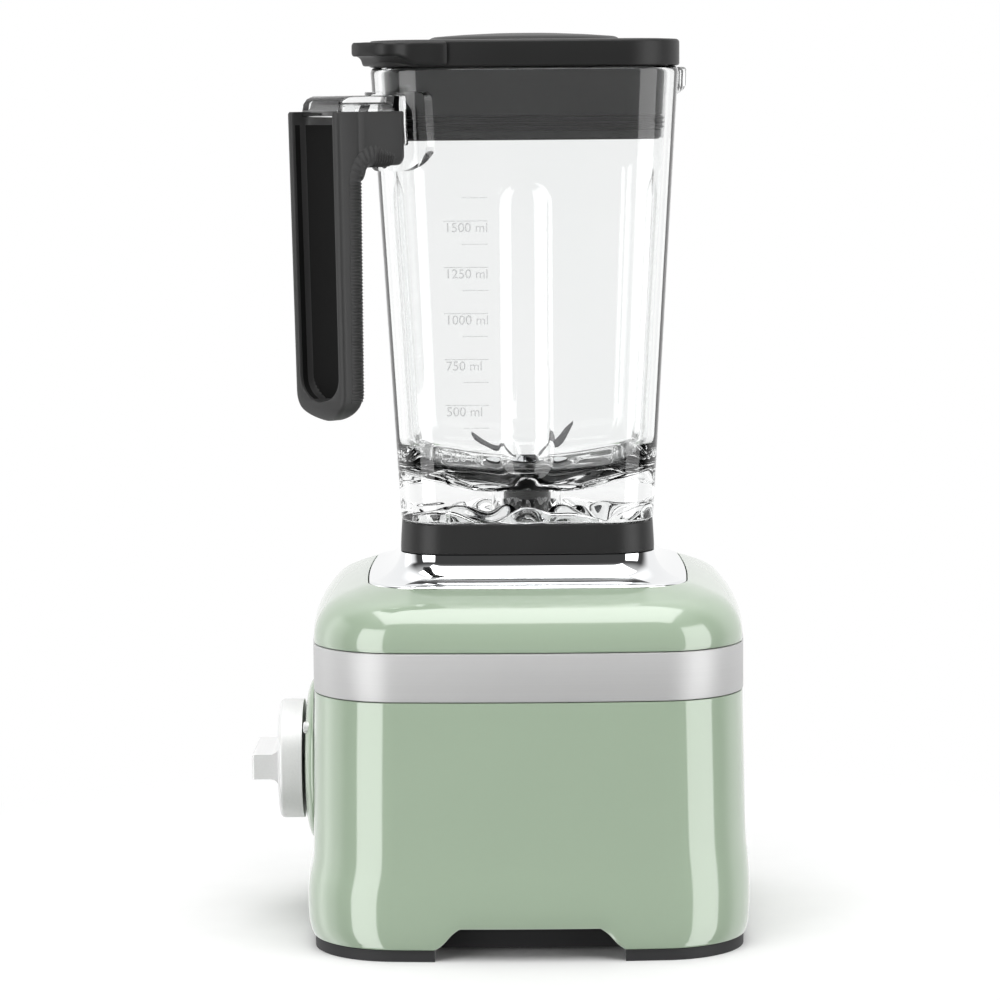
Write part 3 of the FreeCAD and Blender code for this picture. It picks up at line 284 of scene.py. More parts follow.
def ring(half_x, half_y, corner, centre_y=0.0, bow=0.9, side_steps=24, corner_steps=12):
    """Points of a rounded rectangle, starting at the middle of +X; its sides bow with a radius."""
    side_x = half_x - bow
    side_y = half_y - bow
    reach = bow - corner
    corner_x = half_x - corner
    corner_y = half_y - corner
    for _ in range(CORNER_PASSES):
        corner_x = side_x + math.sqrt(reach**2 - corner_y**2)
        corner_y = side_y + math.sqrt(reach**2 - corner_x**2)
    turn_x = math.atan2(corner_y, corner_x - side_x)
    turn_y = math.atan2(corner_x, corner_y - side_y)
    quarter = []
    for i in range(side_steps):
        angle = turn_x * i / side_steps
        quarter.append((side_x + bow * math.cos(angle), bow * math.sin(angle)))
    for i in range(corner_steps):
        angle = turn_x + (math.pi / 2 - turn_y - turn_x) * i / corner_steps
        quarter.append((corner_x + corner * math.cos(angle), corner_y + corner * math.sin(angle)))
    for i in range(side_steps):
        angle = turn_y * (1 - i / side_steps)
        quarter.append((bow * math.sin(angle), side_y + bow * math.cos(angle)))
    crest = (0.0, half_y)
    points = list(quarter)
    points += [(-x, y) for x, y in [crest] + quarter[:0:-1]]
    points += [(-x, -y) for x, y in quarter]
    points += [(x, -y) for x, y in [crest] + quarter[:0:-1]]
    return [(x, y + centre_y) for x, y in points]


def at(points, z):
    return [Vector((x, y, z)) for x, y in points]


def circle_like(points, radius):
    """A circle whose points lie in the same directions as those of another ring."""
    return [(x * radius / math.hypot(x, y), y * radius / math.hypot(x, y)) for x, y in points]


def skin(name, rings, closed=False, caps=True):
    """Joins rings of equal length into one surface, closed end to start or capped."""
    mesh = bpy.data.meshes.new(name)
    count = len(rings[0])
    points = [point for loop in rings for point in loop]
    faces = []
    spans = len(rings) if closed else len(rings) - 1
    for i in range(spans):
        here, there = i * count, ((i + 1) % len(rings)) * count
        for j in range(count):
            k = (j + 1) % count
            faces.append((here + j, here + k, there + k, there + j))
    if caps and not closed:
        faces.append(tuple(range(count - 1, -1, -1)))
        faces.append(tuple(range((len(rings) - 1) * count, len(rings) * count)))
    mesh.from_pydata(points, [], faces)
    return outward(mesh)


def outward(mesh):
    """Joins points that coincide and turns every face outwards."""
    work = bmesh.new()
    work.from_mesh(mesh)
    bmesh.ops.remove_doubles(work, verts=work.verts, dist=1e-7)
    bmesh.ops.recalc_face_normals(work, faces=work.faces)
    work.to_mesh(mesh)
    work.free()
    return mesh


def lathe(name, profile, steps=128):
    """Turns a (radius, height) profile round +Z and closes both of its ends."""
    rings = []
    for radius, height in profile:
        radius = max(radius, 1e-6)
        rings.append([Vector((radius * math.cos(2 * math.pi * i / steps),
                              radius * math.sin(2 * math.pi * i / steps), height))
                      for i in range(steps)])
    return skin(name, rings)


def rounded(profile, radius, steps=4):
    """Rounds every inner corner of a polyline of (x, y) points."""
    result = [profile[0]]
    for before, here, after in zip(profile, profile[1:], profile[2:]):
        start, middle, end = Vector(before), Vector(here), Vector(after)
        back, ahead = start - middle, end - middle
        size = min(radius, back.length * 0.45, ahead.length * 0.45)
        first = middle + back.normalized() * size
        last = middle + ahead.normalized() * size
        for i in range(steps + 1):
            share = i / steps
            point = first * (1 - share)**2 + middle * 2 * share * (1 - share) + last * share**2
            result.append((point.x, point.y))
    result.append(profile[-1])
    return result


def show(mesh, body, slot, nodes=(), smooth=35, bevel=0.0):
    """Makes a piece of a mesh: its finish, its body, its slot and the nodes it stands for."""
    piece = bpy.data.objects.new(mesh.name, mesh)
    bpy.context.scene.collection.objects.link(piece)
    mesh.materials.clear()
    mesh.materials.append(FINISHES[slot].material)
    mesh.polygons.foreach_set("use_smooth", [True] * len(mesh.polygons))
    mesh.set_sharp_from_angle(angle=math.radians(smooth))
    if bevel:
        edge = piece.modifiers.new("edge", "BEVEL")
        edge.width = bevel
        edge.segments = 3
        edge.limit_method = "ANGLE"
        edge.angle_limit = math.radians(smooth)
    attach(piece, body)
    if nodes:
        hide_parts(*nodes)
    return piece


def merged(mesh, other, operation="UNION"):
    """The exact boolean of two meshes, as a new mesh with the first one's name."""
    first = bpy.data.objects.new("boolean_base", mesh)
    second = bpy.data.objects.new("boolean_tool", other)
    for item in (first, second):
        bpy.context.scene.collection.objects.link(item)
    step = first.modifiers.new("join", "BOOLEAN")
    step.operation = operation
    step.object = second
    step.solver = "EXACT"
    bpy.context.view_layer.update()
    graph = bpy.context.evaluated_depsgraph_get()
    result = bpy.data.meshes.new_from_object(first.evaluated_get(graph))
    name = mesh.name
    for item in (first, second):
        bpy.data.objects.remove(item)
    for used in (mesh, other):
        bpy.data.meshes.remove(used)
    result.name = name
    return result


def smooth_path(knots, count):
    """Points on a curve through rows of numbers, with evenly spaced shares between them."""
    rows = [knots[0]] + list(knots) + [knots[-1]]
    result = []
    for i in range(count + 1):
        place = i / count * (len(knots) - 1)
        span = min(int(place), len(knots) - 2)
        t = place - span
        a, b, c, d = rows[span:span + 4]
        result.append([
            0.5 * ((2 * q) + (r - p) * t + (2 * p - 5 * q + 4 * r - s) * t**2
                   + (3 * q - p - 3 * r + s) * t**3)
            for p, q, r, s in zip(a, b, c, d)])
    return result


# ---------------------------------------------------------------- motor base

BASE_HALF = high("trim_band")[1] - 0.3 * MM
BASE_HALF_X = high("trim_band")[0] - 0.3 * MM
BASE_CORNER = 42 * MM
BAND_LOW, BAND_HIGH = low("trim_band")[2], high("trim_band")[2]
DECK_HALF = 76.8 * MM
DECK_LEVEL = high("top_shell")[2]

# height, half width in X, reach to the front and to the back, in millimetres
HOUSING_SHAPE = [
    (5.6, 101.2, 105.0, 104.4), (13.0, 102.2, 106.8, 105.8), (25.0, 102.4, 107.2, 106.2),
    (33.0, 102.2, 106.4, 106.0), (42.0, 101.8, 104.6, 105.4), (54.0, 101.6, 104.1, 104.4),
    (85.0, 101.2, 103.7, 103.7), (121.85, 100.6, 103.0, 103.0)]
HOUSING_WALL = 2.8 * MM
ARCH_FOOT, ARCH_SHOULDER, ARCH_TOP = 44 * MM, 33 * MM, 15.6 * MM
ARCH_FADE = 60 * MM


def arch_lift(y, floor):
    """How high the lower edge of a side wall is, along the wall."""
    slope = (ARCH_FOOT - abs(y)) / (ARCH_FOOT - ARCH_SHOULDER)
    slope = min(max(slope, 0.0), 1.0)
    eased = slope - 0.20 * math.sin(2 * math.pi * slope) * slope * (1 - slope)
    return floor + (ARCH_TOP - floor) * min(max(eased, 0.0), 1.0)


def housing_ring(z, half_x, front, back, inset):
    """One level of the housing; on the side walls it is lifted over the arch."""
    half_y = (front + back) / 2 - inset
    points = ring(half_x - inset, half_y, BASE_CORNER - inset, (back - front) / 2,
                  side_steps=56, corner_steps=20)
    floor = HOUSING_SHAPE[0][0] * MM
    placed = []
    for x, y in points:
        height = z
        if abs(x) > BASE_HALF_X * 0.9 and z < ARCH_FADE:
            start = arch_lift(y, floor)
            height = start + (z - floor) * (ARCH_FADE - start) / (ARCH_FADE - floor)
        placed.append(Vector((x, y, height)))
    return placed


def housing():
    """The lower shell, hollow, with softly rounded upper and lower edges."""
    rows = [[v * MM for v in row] for row in HOUSING_SHAPE]
    wall = smooth_path(rows, 56)
    bottom, top = wall[0], wall[-1]
    low_edge, high_edge = 0.9 * MM, 0.5 * MM
    rings = [housing_ring(bottom[0], *bottom[1:], HOUSING_WALL)]
    for share in (0.0, 0.3, 0.7, 1.0):
        rings.append(housing_ring(bottom[0] + low_edge * share**2, *bottom[1:],
                                  low_edge * (1 - share)**2))
    rings += [housing_ring(row[0], *row[1:], 0.0) for row in wall[1:-1] if row[0] > 7.5 * MM]
    for share in (0.0, 0.4, 0.8, 1.0):
        rings.append(housing_ring(top[0] - high_edge * (1 - share)**2, *top[1:],
                                  high_edge * share**2))
    rings.append(housing_ring(top[0], *top[1:], HOUSING_WALL))
    rings.append(housing_ring(ARCH_FADE, *wall[40][1:], HOUSING_WALL))
    show(skin("housing_shell", rings, closed=True), "base", "body_enamel", ["lower_housing"])


def band():
    """The metal band, eased at its upper and lower edges."""
    half_x, half_y = high("trim_band")[0], high("trim_band")[1]
    edge, thick = 0.7 * MM, 2.4 * MM
    profile = [(thick, BAND_LOW), (edge, BAND_LOW), (edge * 0.35, BAND_LOW + edge * 0.25),
               (0, BAND_LOW + edge), (0, BAND_HIGH - edge), (edge * 0.35, BAND_HIGH - edge * 0.25),
               (edge, BAND_HIGH), (thick, BAND_HIGH)]
    rings = [at(ring(half_x - inset, half_y - inset, BASE_CORNER - inset, side_steps=20,
                     corner_steps=24), z) for inset, z in profile]
    show(skin("aluminium_band", rings, closed=True), "base", "band_aluminium", ["trim_band"])


def dome_corner(half):
    return BASE_CORNER - 0.58 * (BASE_HALF - half)


def dome_ring(half, z, inset=0.0):
    narrower = BASE_HALF - BASE_HALF_X
    fade = min(max((half - DECK_HALF) / (BASE_HALF - DECK_HALF), 0), 1)
    return at(ring(half - narrower * fade - inset, half - inset, dome_corner(half) - inset * 0.8,
                   side_steps=20, corner_steps=24), z)


def dome():
    """The upper shell: a full round shoulder that runs into a gently sloping deck."""
    radius, turn = 22 * MM, math.radians(65)
    centre, start = BASE_HALF - radius, BAND_HIGH + 2.5 * MM
    foot = BAND_HIGH + 0.35 * MM
    rings = [dome_ring(BASE_HALF, foot, 3 * MM), dome_ring(BASE_HALF, foot, 0.6 * MM),
             dome_ring(BASE_HALF, foot + 0.15 * MM, 0.15 * MM),
             dome_ring(BASE_HALF, foot + 0.6 * MM)]
    for i in range(25):
        angle = turn * i / 24
        rings.append(dome_ring(centre + radius * math.cos(angle), start + radius * math.sin(angle)))
    shoulder_half = centre + radius * math.cos(turn)
    shoulder = start + radius * math.sin(turn)
    for i in range(1, 10):
        share = i / 10
        bulge = 0.25 * MM * math.sin(math.pi * share)
        rings.append(dome_ring(shoulder_half + (DECK_HALF + 0.5 * MM - shoulder_half) * share,
                               shoulder + (DECK_LEVEL - 0.1 * MM - shoulder) * share + bulge))
    rings.append(dome_ring(DECK_HALF + 0.15 * MM, DECK_LEVEL - 0.05 * MM))
    rings.append(dome_ring(DECK_HALF, DECK_LEVEL - 0.5 * MM))
    rings.append(dome_ring(DECK_HALF, DECK_LEVEL - 5 * MM))
    rings.append(dome_ring(DECK_HALF + 6 * MM, DECK_LEVEL - 6 * MM))
    rings.append(dome_ring(BASE_HALF - 6 * MM, start))
    show(skin("upper_shell", rings, closed=True), "base", "body_enamel", ["top_shell"])


def cove():
    """The chrome skirt: a hollow cove from the deck up to the jar's seat."""
    radius, centre_half, centre_z = 15.5 * MM, DECK_HALF - 0.4 * MM, 188 * MM
    seat = high("jar_pad")[2]
    corner_low = dome_corner(DECK_HALF) - 0.4 * MM
    top_angle = math.asin((centre_z - seat) / radius)

    def level(half, z):
        corner = max(corner_low - 0.36 * (centre_half - half), 4 * MM)
        return at(ring(half, half, corner, side_steps=22, corner_steps=26), z)

    rings = [level(68 * MM, DECK_LEVEL - 5 * MM), level(centre_half, DECK_LEVEL - 5 * MM),
             level(centre_half, DECK_LEVEL - 0.1 * MM),
             level(centre_half - 0.2 * MM, DECK_LEVEL + 0.3 * MM)]
    for i in range(1, 29):
        angle = math.pi / 2 + (top_angle - math.pi / 2) * i / 28
        rings.append(level(centre_half - radius * math.cos(angle),
                           centre_z - radius * math.sin(angle) + 0.3 * MM * (1 - i / 28)))
    rim = centre_half - radius * math.cos(top_angle)
    rings.append(level(rim - 0.5 * MM, seat))
    recess = 52.6 * MM
    rings += [level(recess + 0.5 * MM, seat), level(recess, seat - 0.5 * MM),
              level(recess, seat - 7.1 * MM), level(30 * MM, seat - 7.15 * MM),
              level(30 * MM, seat - 9 * MM), level(56 * MM, seat - 10 * MM)]
    show(skin("chrome_skirt", rings, closed=True), "base", "skirt_chrome", ["jar_pad"])


PLATE_CENTRE = (low("dial_bezel")[2] + high("dial_bezel")[2]) / 2
PLATE_RADIUS = 39.3 * MM


def bezel():
    """The round plate the dial sits on, domed towards its rim."""
    crown, rim = -low("dial_bezel")[1], PLATE_RADIUS
    profile = rounded([
        (4.6 * MM, crown - 9 * MM), (4.6 * MM, crown), (10 * MM, crown), (24 * MM, crown - 0.5 * MM),
        (33.5 * MM, crown - 1.5 * MM), (38.0 * MM, crown - 3.2 * MM), (rim, crown - 4.8 * MM),
        (rim, crown - 10 * MM), (4.6 * MM, crown - 10 * MM)], 3.2 * MM, 6)
    plate = lathe("dial_plate", profile, 160)
    plate.transform(Matrix.Translation((0, 0, PLATE_CENTRE)) @ Matrix.Rotation(math.pi / 2, 4, "X"))
    show(outward(plate), "base", "body_enamel", ["dial_bezel"])


def bezel_seam():
    """The fine dark joint round the dial plate, laid on the bowed front wall."""
    bow, front, wide, thick = 0.9, 103.75 * MM, 0.45 * MM, 0.25 * MM
    seam = []
    for i in range(96):
        angle = 2 * math.pi * i / 96
        across, up = math.cos(angle), math.sin(angle)
        reach = bow - math.sqrt(bow**2 - (PLATE_RADIUS * across)**2)
        hub = Vector((PLATE_RADIUS * across, reach - front, PLATE_CENTRE + PLATE_RADIUS * up))
        seam.append([hub + Vector((across, 0, up)) * wide * math.cos(a)
                     - Vector((0, 1, 0)) * thick * math.sin(a)
                     for a in [math.pi * k / 4 for k in range(8)]])
    show(skin("dial_plate_seam", seam, closed=True), "base", "foot_rubber")


def gland():
    """The bush for the cord, flush with the rear wall."""
    start, stop = low("cord_gland"), high("cord_gland")
    radius, face = (stop[0] - start[0]) / 2, 105.3 * MM
    profile = rounded([
        (3.5 * MM, face - 4 * MM), (3.5 * MM, face), (radius, face), (radius, start[1]),
        (0, start[1])], 0.8 * MM)
    bush = lathe("cord_bush", profile, 64)
    bush.transform(Matrix.Translation(((start[0] + stop[0]) / 2, 0, (start[2] + stop[2]) / 2))
                   @ Matrix.Rotation(-math.pi / 2, 4, "X"))
    show(outward(bush), "base", "gland_rubber", ["cord_gland"])


# ---------------------------------------------------------------- jar

JAR_LOW, JAR_HIGH = 200.4 * MM, 413.8 * MM
JAR_LOW_HALF, JAR_FLARE = 60.8 * MM, 12.6 * MM
FOOT_LOW, FLOOR_TOP = 194 * MM, 213.6 * MM
HUB_HOLE = 16.6 * MM
WALL = 4.6 * MM
FLUTE_HALF, FLUTE_DEPTH = 12 * MM, 4.4 * MM
FLUTE_LOW, FLUTE_HIGH = 232 * MM, 350 * MM
PLATE_HALF, PLATE_LOW, PLATE_HIGH, PLATE_PROUD = 20.2 * MM, 366 * MM, 402.5 * MM, 3.6 * MM
SPOUT_LOW, SPOUT_FULL = 393 * MM, 405 * MM
SPOUT_HALF, SPOUT_REACH = 15 * MM, 21 * MM


def ease(value):
    value = min(max(value, 0.0), 1.0)
    return value * value * (3 - 2 * value)


def jar_half(z):
    return JAR_LOW_HALF + (z - JAR_LOW) / (JAR_HIGH - JAR_LOW) * JAR_FLARE


def jar_corner(z):
    return 21.5 * MM + (z - JAR_LOW) / (JAR_HIGH - JAR_LOW) * 5.5 * MM


def jar_points(z, inset):
    return ring(jar_half(z) - inset, jar_half(z) - inset, jar_corner(z) - inset, bow=0.7,
                side_steps=34, corner_steps=30)


def flute(along, z):
    """Depth of the round-ended hollow in the middle of each wall."""
    radius = (FLUTE_HALF**2 + FLUTE_DEPTH**2) / (2 * FLUTE_DEPTH)
    beyond = max(FLUTE_LOW - z, z - FLUTE_HIGH, 0.0)
    square = radius**2 - along**2 - beyond**2
    if square <= 0:
        return 0.0
    raw = math.sqrt(square) - (radius - FLUTE_DEPTH)
    blend = 0.5 * MM
    return 0.5 * (raw + math.sqrt(raw * raw + blend * blend)) if raw > -2 * MM else 0.0


def jar_ring(z, inset):
    """One level of the jar's wall, with its flutes and the lip pushed out of its rear corner."""
    placed = []
    for x, y in jar_points(z, inset):
        if abs(x) > abs(y):
            x -= math.copysign(flute(y, z), x)
        else:
            y -= math.copysign(flute(x, z), y)
        out, across = (x - y) * HALF_ROOT, (x + y) * HALF_ROOT
        if out < -60 * MM:
            flare = ease((z - SPOUT_LOW) / (SPOUT_FULL - SPOUT_LOW))
            width = SPOUT_HALF + 3 * MM * flare
            push = SPOUT_REACH * flare * max(0.0, 1 - (abs(across) / width)**2.2)
            x -= HALF_ROOT * push
            y += HALF_ROOT * push
        placed.append(Vector((x, y, z)))
    return placed


def jar():
    """Thick clear glass: tapered square walls with flutes, a heavy bowl floor and a lip."""
    levels = []
    z = JAR_LOW + 1.2 * MM
    while z < JAR_HIGH - 2.2 * MM:
        levels.append(z)
        fine = min(abs(z - FLUTE_LOW), abs(z - FLUTE_HIGH)) < 26 * MM or z > 364 * MM
        z += 2.0 * MM if fine else 7 * MM
    foot_half = 56.4 * MM
    foot = ring(foot_half, foot_half, 18 * MM, side_steps=34, corner_steps=30)
    hole = circle_like(foot, HUB_HOLE)
    rings = [at(hole, FOOT_LOW)]
    for i in range(1, 40):
        rings.append([underside(hole[k], foot[k], i / 40) for k in range(len(foot))])
    rings += [at(foot, FOOT_LOW), at(foot, JAR_LOW - 0.2 * MM), jar_ring(JAR_LOW, 1.2 * MM)]
    rings += [jar_ring(z, 0.0) for z in levels]
    half_wall = WALL / 2
    for i in range(9):
        angle = math.pi * i / 8
        rings.append(jar_ring(JAR_HIGH - half_wall + half_wall * math.sin(angle),
                              half_wall - half_wall * math.cos(angle)))
    bowl_top = 237 * MM
    rings += [jar_ring(z, WALL) for z in reversed(levels) if z > bowl_top]
    bowl = [(233, 58.2, 18), (229.5, 57.0, 18), (226, 55.4, 18), (223, 53.0, 18), (220.4, 49.6, 18),
            (218.2, 45.6, 18), (216.6, 41, 17), (215.4, 36, 16), (214.5, 31, 15), (213.9, 26, 14)]
    for height, half, corner in bowl:
        flat = ring(half * MM, half * MM, corner * MM, bow=0.5, side_steps=34, corner_steps=30)
        waved = []
        for x, y in flat:
            spin = math.atan2(y, x)
            rise = 3.2 * MM * (0.5 - 0.5 * math.cos(4 * spin)) * ease((half - 24) / 30)
            waved.append(Vector((x, y, height * MM + rise)))
        rings.append(waved)
    rings += [at(circle_like(foot, 22.4 * MM), FLOOR_TOP), at(hole, FLOOR_TOP)]
    body = skin("jar_glass_body", rings, closed=True)
    body = merged(merged(body, flange_plate()), lug())
    show(body, "jar", "jar_glass", ["glass_jar"], smooth=50)


def lug():
    """The hollow glass arm that the handle grips."""
    stations = []
    for reach, width, base, top in (
            (84, 12.8, 378, 401), (120.6, 12.8, 378, 401), (122.6, 12.8, 392, 401),
            (125.5, 12.8, 392, 400.8), (128.8, 12.7, 392, 399.6), (130.8, 12.5, 392, 397.6),
            (131.8, 12.0, 391.4, 394.6)):
        stations.append(rounded_section(reach * MM, width * MM, base * MM, top * MM, 1.0 * MM))
    hollow = [rounded_section(reach * MM, 9.8 * MM, 374 * MM, 397.8 * MM, 1.5 * MM)
              for reach in (97, 112, 128)]
    return merged(skin("jar_lug", stations), skin("lug_hollow", hollow), "DIFFERENCE")


def underside(inner, outer, share):
    """A point under the jar's foot, which is hollow between the hub's boss and the outer wall."""
    x = inner[0] + (outer[0] - inner[0]) * share
    y = inner[1] + (outer[1] - inner[1]) * share
    spin = math.atan2(y, x)
    rise = 11.2 + 2.1 * math.cos(6 * spin + 7 * share) + 1.2 * math.sin(11 * spin - 5 * share)
    rise *= ease((share - 0.2) / 0.12) * ease((0.89 - share) / 0.08)
    return Vector((x, y, FOOT_LOW + rise * MM))


def foot_skirt():
    """A dark skirt in the hollow foot that slopes down from the hub's boss to the collar."""
    outline = ring(48.6 * MM, 48.6 * MM, 14 * MM)
    middle, opening = circle_like(outline, 39 * MM), circle_like(outline, 29.6 * MM)
    thick = 0.5 * MM
    slope = [(opening, 200.4 * MM), (middle, 198.2 * MM), (outline, 193.2 * MM)]
    rings = [at(points, z) for points, z in slope]
    rings += [at(points, z + thick) for points, z in reversed(slope)]
    show(skin("jar_foot_skirt", rings, closed=True), "jar", "seal_rubber")


def flange_plate():
    """The raised plate on the corner of the jar that carries the lug."""
    levels = [(PLATE_LOW - 4 * MM + i * 4 * MM) for i in range(12)]
    shell = [at(jar_points(z, -PLATE_PROUD), z) for z in levels]
    shell += [at(jar_points(z, 2.0 * MM), z) for z in reversed(levels)]
    outline = []
    low_radius, high_radius = 13 * MM, 3 * MM
    for across, z, radius, start in (
            (PLATE_HALF, PLATE_HIGH, high_radius, 0), (-PLATE_HALF, PLATE_HIGH, high_radius, 90),
            (-PLATE_HALF, PLATE_LOW, low_radius, 180), (PLATE_HALF, PLATE_LOW, low_radius, 270)):
        centre_across = across - math.copysign(radius, across)
        centre_z = z + (radius if z == PLATE_LOW else -radius)
        for i in range(13):
            angle = math.radians(start + 7.5 * i)
            outline.append((centre_across + radius * math.cos(angle),
                            centre_z + radius * math.sin(angle)))
    cutter = [[along_handle(reach, w, z) for w, z in outline] for reach in (60 * MM, 115 * MM)]
    return merged(skin("jar_flange_plate", shell, closed=True), skin("plate_cutter", cutter),
                  "INTERSECT")


def along_handle(reach, across, z):
    return Vector(((reach + across) * HALF_ROOT, (across - reach) * HALF_ROOT, z))


def rounded_section(reach, half, base, top, radius):
    """A rounded rectangle across the handle's direction, at one distance from the axis."""
    radius = min(radius, half * 0.9, (top - base) * 0.45)
    points = []
    for cx, cz, start in ((half - radius, top - radius, 0), (-half + radius, top - radius, 90),
                          (-half + radius, base + radius, 180), (half - radius, base + radius, 270)):
        for i in range(7):
            angle = math.radians(start + 15 * i)
            points.append(along_handle(reach, cx + radius * math.cos(angle),
                                       cz + radius * math.sin(angle)))
    return points


def collar():
    half = 61.1 * MM
    base, top = 186.0 * MM, high("jar_collar")[2]
    corner = dome_corner(DECK_HALF) - 0.4 * MM - 0.36 * (DECK_HALF - 0.4 * MM - half)
    profile = rounded([
        (half - 11.2 * MM, 182 * MM), (half - 11.2 * MM, low("jar_collar")[2]),
        (51.7 * MM, low("jar_collar")[2]), (51.9 * MM, base), (half - 0.1 * MM, base),
        (half - 0.3 * MM, base + 5 * MM), (half - 0.9 * MM, top), (56.8 * MM, top),
        (56.8 * MM, 194.1 * MM), (half - 11.2 * MM, 193 * MM)], 0.9 * MM, 4)
    rings = [at(ring(h, h, max(corner - (half - h), 5 * MM), side_steps=20, corner_steps=24), z)
             for h, z in profile]
    show(skin("jar_foot_collar", rings, closed=True), "jar", "collar_plastic", ["jar_collar"])


# ---------------------------------------------------------------- handle

GRIP_TOP, GRIP_TIP = 393.8 * MM, 252.4 * MM
GRIP_HALF, GRIP_TAPER = 17.6 * MM, 0.6 * MM
GRIP_ROUND = 13 * MM
ARM_LOW = 369 * MM
ARM_RADIUS = 7.0 * MM


def grip_faces(z):
    """Distances of the grip's outer and inner faces from the drive axis."""
    share = (GRIP_TOP - z) / (GRIP_TOP - GRIP_TIP)
    outer = 137 * MM - 3.0 * MM * share
    thick = (16.8 - 2.4 * share) * MM
    return outer, outer - thick


def grip_half(z):
    """Half width of the grip, which tapers a little and ends in a round tip."""
    if z > GRIP_TIP + GRIP_ROUND:
        return GRIP_HALF - GRIP_TAPER * (GRIP_TOP - z) / (GRIP_TOP - GRIP_TIP)
    share = (GRIP_TIP + GRIP_ROUND - z) / GRIP_ROUND
    return (GRIP_HALF - GRIP_TAPER) * math.sqrt(max(1 - share * share, 0.0004))


def channel_size(z):
    """Half width and depth of the channel in the grip's outer face."""
    rim, full_depth, end_round = 4.3 * MM, 8.5 * MM, 11 * MM
    full_from = GRIP_TIP + 20 * MM
    open_half = max(grip_half(z) - rim, 0.0)
    if z < full_from:
        share = (full_from - z) / end_round
        open_half = (GRIP_HALF - GRIP_TAPER - rim) * math.sqrt(max(1 - share * share, 0.0))
    return open_half, full_depth * ease(open_half / (3.5 * MM))


def grip_section(z):
    """The grip in plan: two rims either side of a deep channel, and a rounded inner side."""
    outer, inner = grip_faces(z)
    half = grip_half(z)
    pinch = max(0.0, 1 - (z - GRIP_TIP) / (7 * MM))
    outer -= 5.0 * MM * pinch**2
    inner += 3.5 * MM * pinch**2
    open_half, depth = channel_size(z)
    side = min(2.5 * MM, half * 0.4)
    back = min(5.5 * MM, half * 0.6, (outer - inner) * 0.4)
    path = []
    for i in range(5):
        angle = math.pi / 2 * i / 4
        path.append((outer - side + side * math.cos(angle), half - side + side * math.sin(angle)))
    for i in range(9):
        angle = math.pi / 2 * i / 8
        path.append((inner + back - back * math.sin(angle), half - back + back * math.cos(angle)))
    path += [(d, -w) for d, w in reversed(path)]
    lip = min(1.1 * MM, open_half * 0.5)
    floor = outer - depth
    channel = []
    for i in range(4):
        angle = math.pi / 2 * i / 3
        channel.append((outer - lip + lip * math.cos(angle),
                        -open_half - lip * (1 - math.sin(angle))))
    channel += [(floor + min(2 * MM, depth * 0.4), -open_half + 0.3 * lip),
                (floor, -open_half * 0.8)]
    channel += [(d, -w) for d, w in reversed(channel)]
    return [along_handle(d, w, z) for d, w in path + channel]


def handle_post():
    """The upright grip with its channel and the channel's dark lining, which paints the shade inside
    the channel.
    """
    steps = [GRIP_TIP + GRIP_ROUND * (1 - math.cos(math.pi / 2 * i / 14)) for i in range(14)]
    z = GRIP_TIP + GRIP_ROUND
    while z < GRIP_TOP - 1.2 * MM:
        steps.append(z)
        z += 1.6 * MM if z < GRIP_TIP + 26 * MM else 6 * MM
    steps.append(GRIP_TOP - 0.9 * MM)
    rings = [grip_section(z) for z in steps]
    top_ring = grip_section(GRIP_TOP)
    centre = sum(top_ring, Vector()) / len(top_ring)
    rings.append([p + (centre - p).normalized() * 0.7 * MM for p in top_ring])
    show(skin("handle_post", rings), "jar", "handle_plastic", ["handle_grip"], smooth=48)
    channel_shade_liner([z for z in steps if z < GRIP_TOP - 2 * MM])


def handle_arm():
    """The arm from the grip to the jar: rounded at the jar, sunk into the grip at the other end."""
    inner = grip_faces(ARM_LOW)[1]
    reaches = [94.4, 95, 96, 97.5, 103, 108]
    reaches += [112 + 0.5 * i for i in range(18)]
    reaches += [123, 125, 127.5]
    stations = []
    for reach in reaches:
        bend = (reach * MM - inner + ARM_RADIUS) / ARM_RADIUS
        base = ARM_LOW - ARM_RADIUS * (1 - math.sqrt(1 - min(max(bend, 0.0), 1.0)**2))
        rounding = max(0.0, 97.5 - reach) / 3.1
        pull = 2.5 * MM * (1 - math.sqrt(max(1 - rounding**2, 0.0)))
        sink = 1.2 * MM * ease((reach - 121.5) / 6)
        stations.append(arm_section(reach * MM, GRIP_HALF - pull - sink, base + pull * 0.5 + sink,
                                    GRIP_TOP - sink * 0.5))
    show(skin("handle_arm", stations), "jar", "handle_plastic", smooth=48)


def channel_shade_liner(steps):
    """A dull near-black lining on the floor and the walls of the grip's channel: painted shade, a
    dark sheet laid where the channel only lies in shade.
    """
    rings = []
    for z in steps:
        open_half, depth = channel_size(z)
        if open_half < 4 * MM:
            continue
        outer = grip_faces(z)[0]
        floor, lift = outer - depth, 0.2 * MM
        side = open_half - lift
        path = [(outer - 1.6 * MM, side), (floor + 2 * MM, side), (floor + lift, open_half * 0.8),
                (floor + lift, 0.0)]
        path += [(d, -w) for d, w in path[-2::-1]]
        path += [(outer - 1.6 * MM, -side - MM), (floor - MM, -side - MM),
                 (floor - MM, side + MM), (outer - 1.6 * MM, side + MM)]
        rings.append([along_handle(d, w, z) for d, w in path])
    show(skin("handle_channel_shade_liner", rings), "jar", "channel_painted_shade", smooth=40)


def arm_section(reach, half, base, top):
    """A U-shaped section that cradles the glass lug."""
    inner, floor, soft, edge = 13.4 * MM, 375.6 * MM, 4.0 * MM, 0.9 * MM
    path = []
    for i in range(7):
        angle = math.pi / 2 * i / 6
        path.append((half - soft + soft * math.sin(angle), base + soft - soft * math.cos(angle)))
    path += [(half, top - edge), (half - edge * 0.3, top - edge * 0.3), (half - edge, top),
             (inner + edge, top), (inner + edge * 0.3, top - edge * 0.3), (inner, top - edge),
             (inner, floor + edge), (inner - edge, floor)]
    path += [(-w, z) for w, z in reversed(path)]
    return [along_handle(reach, w, z) for w, z in path]


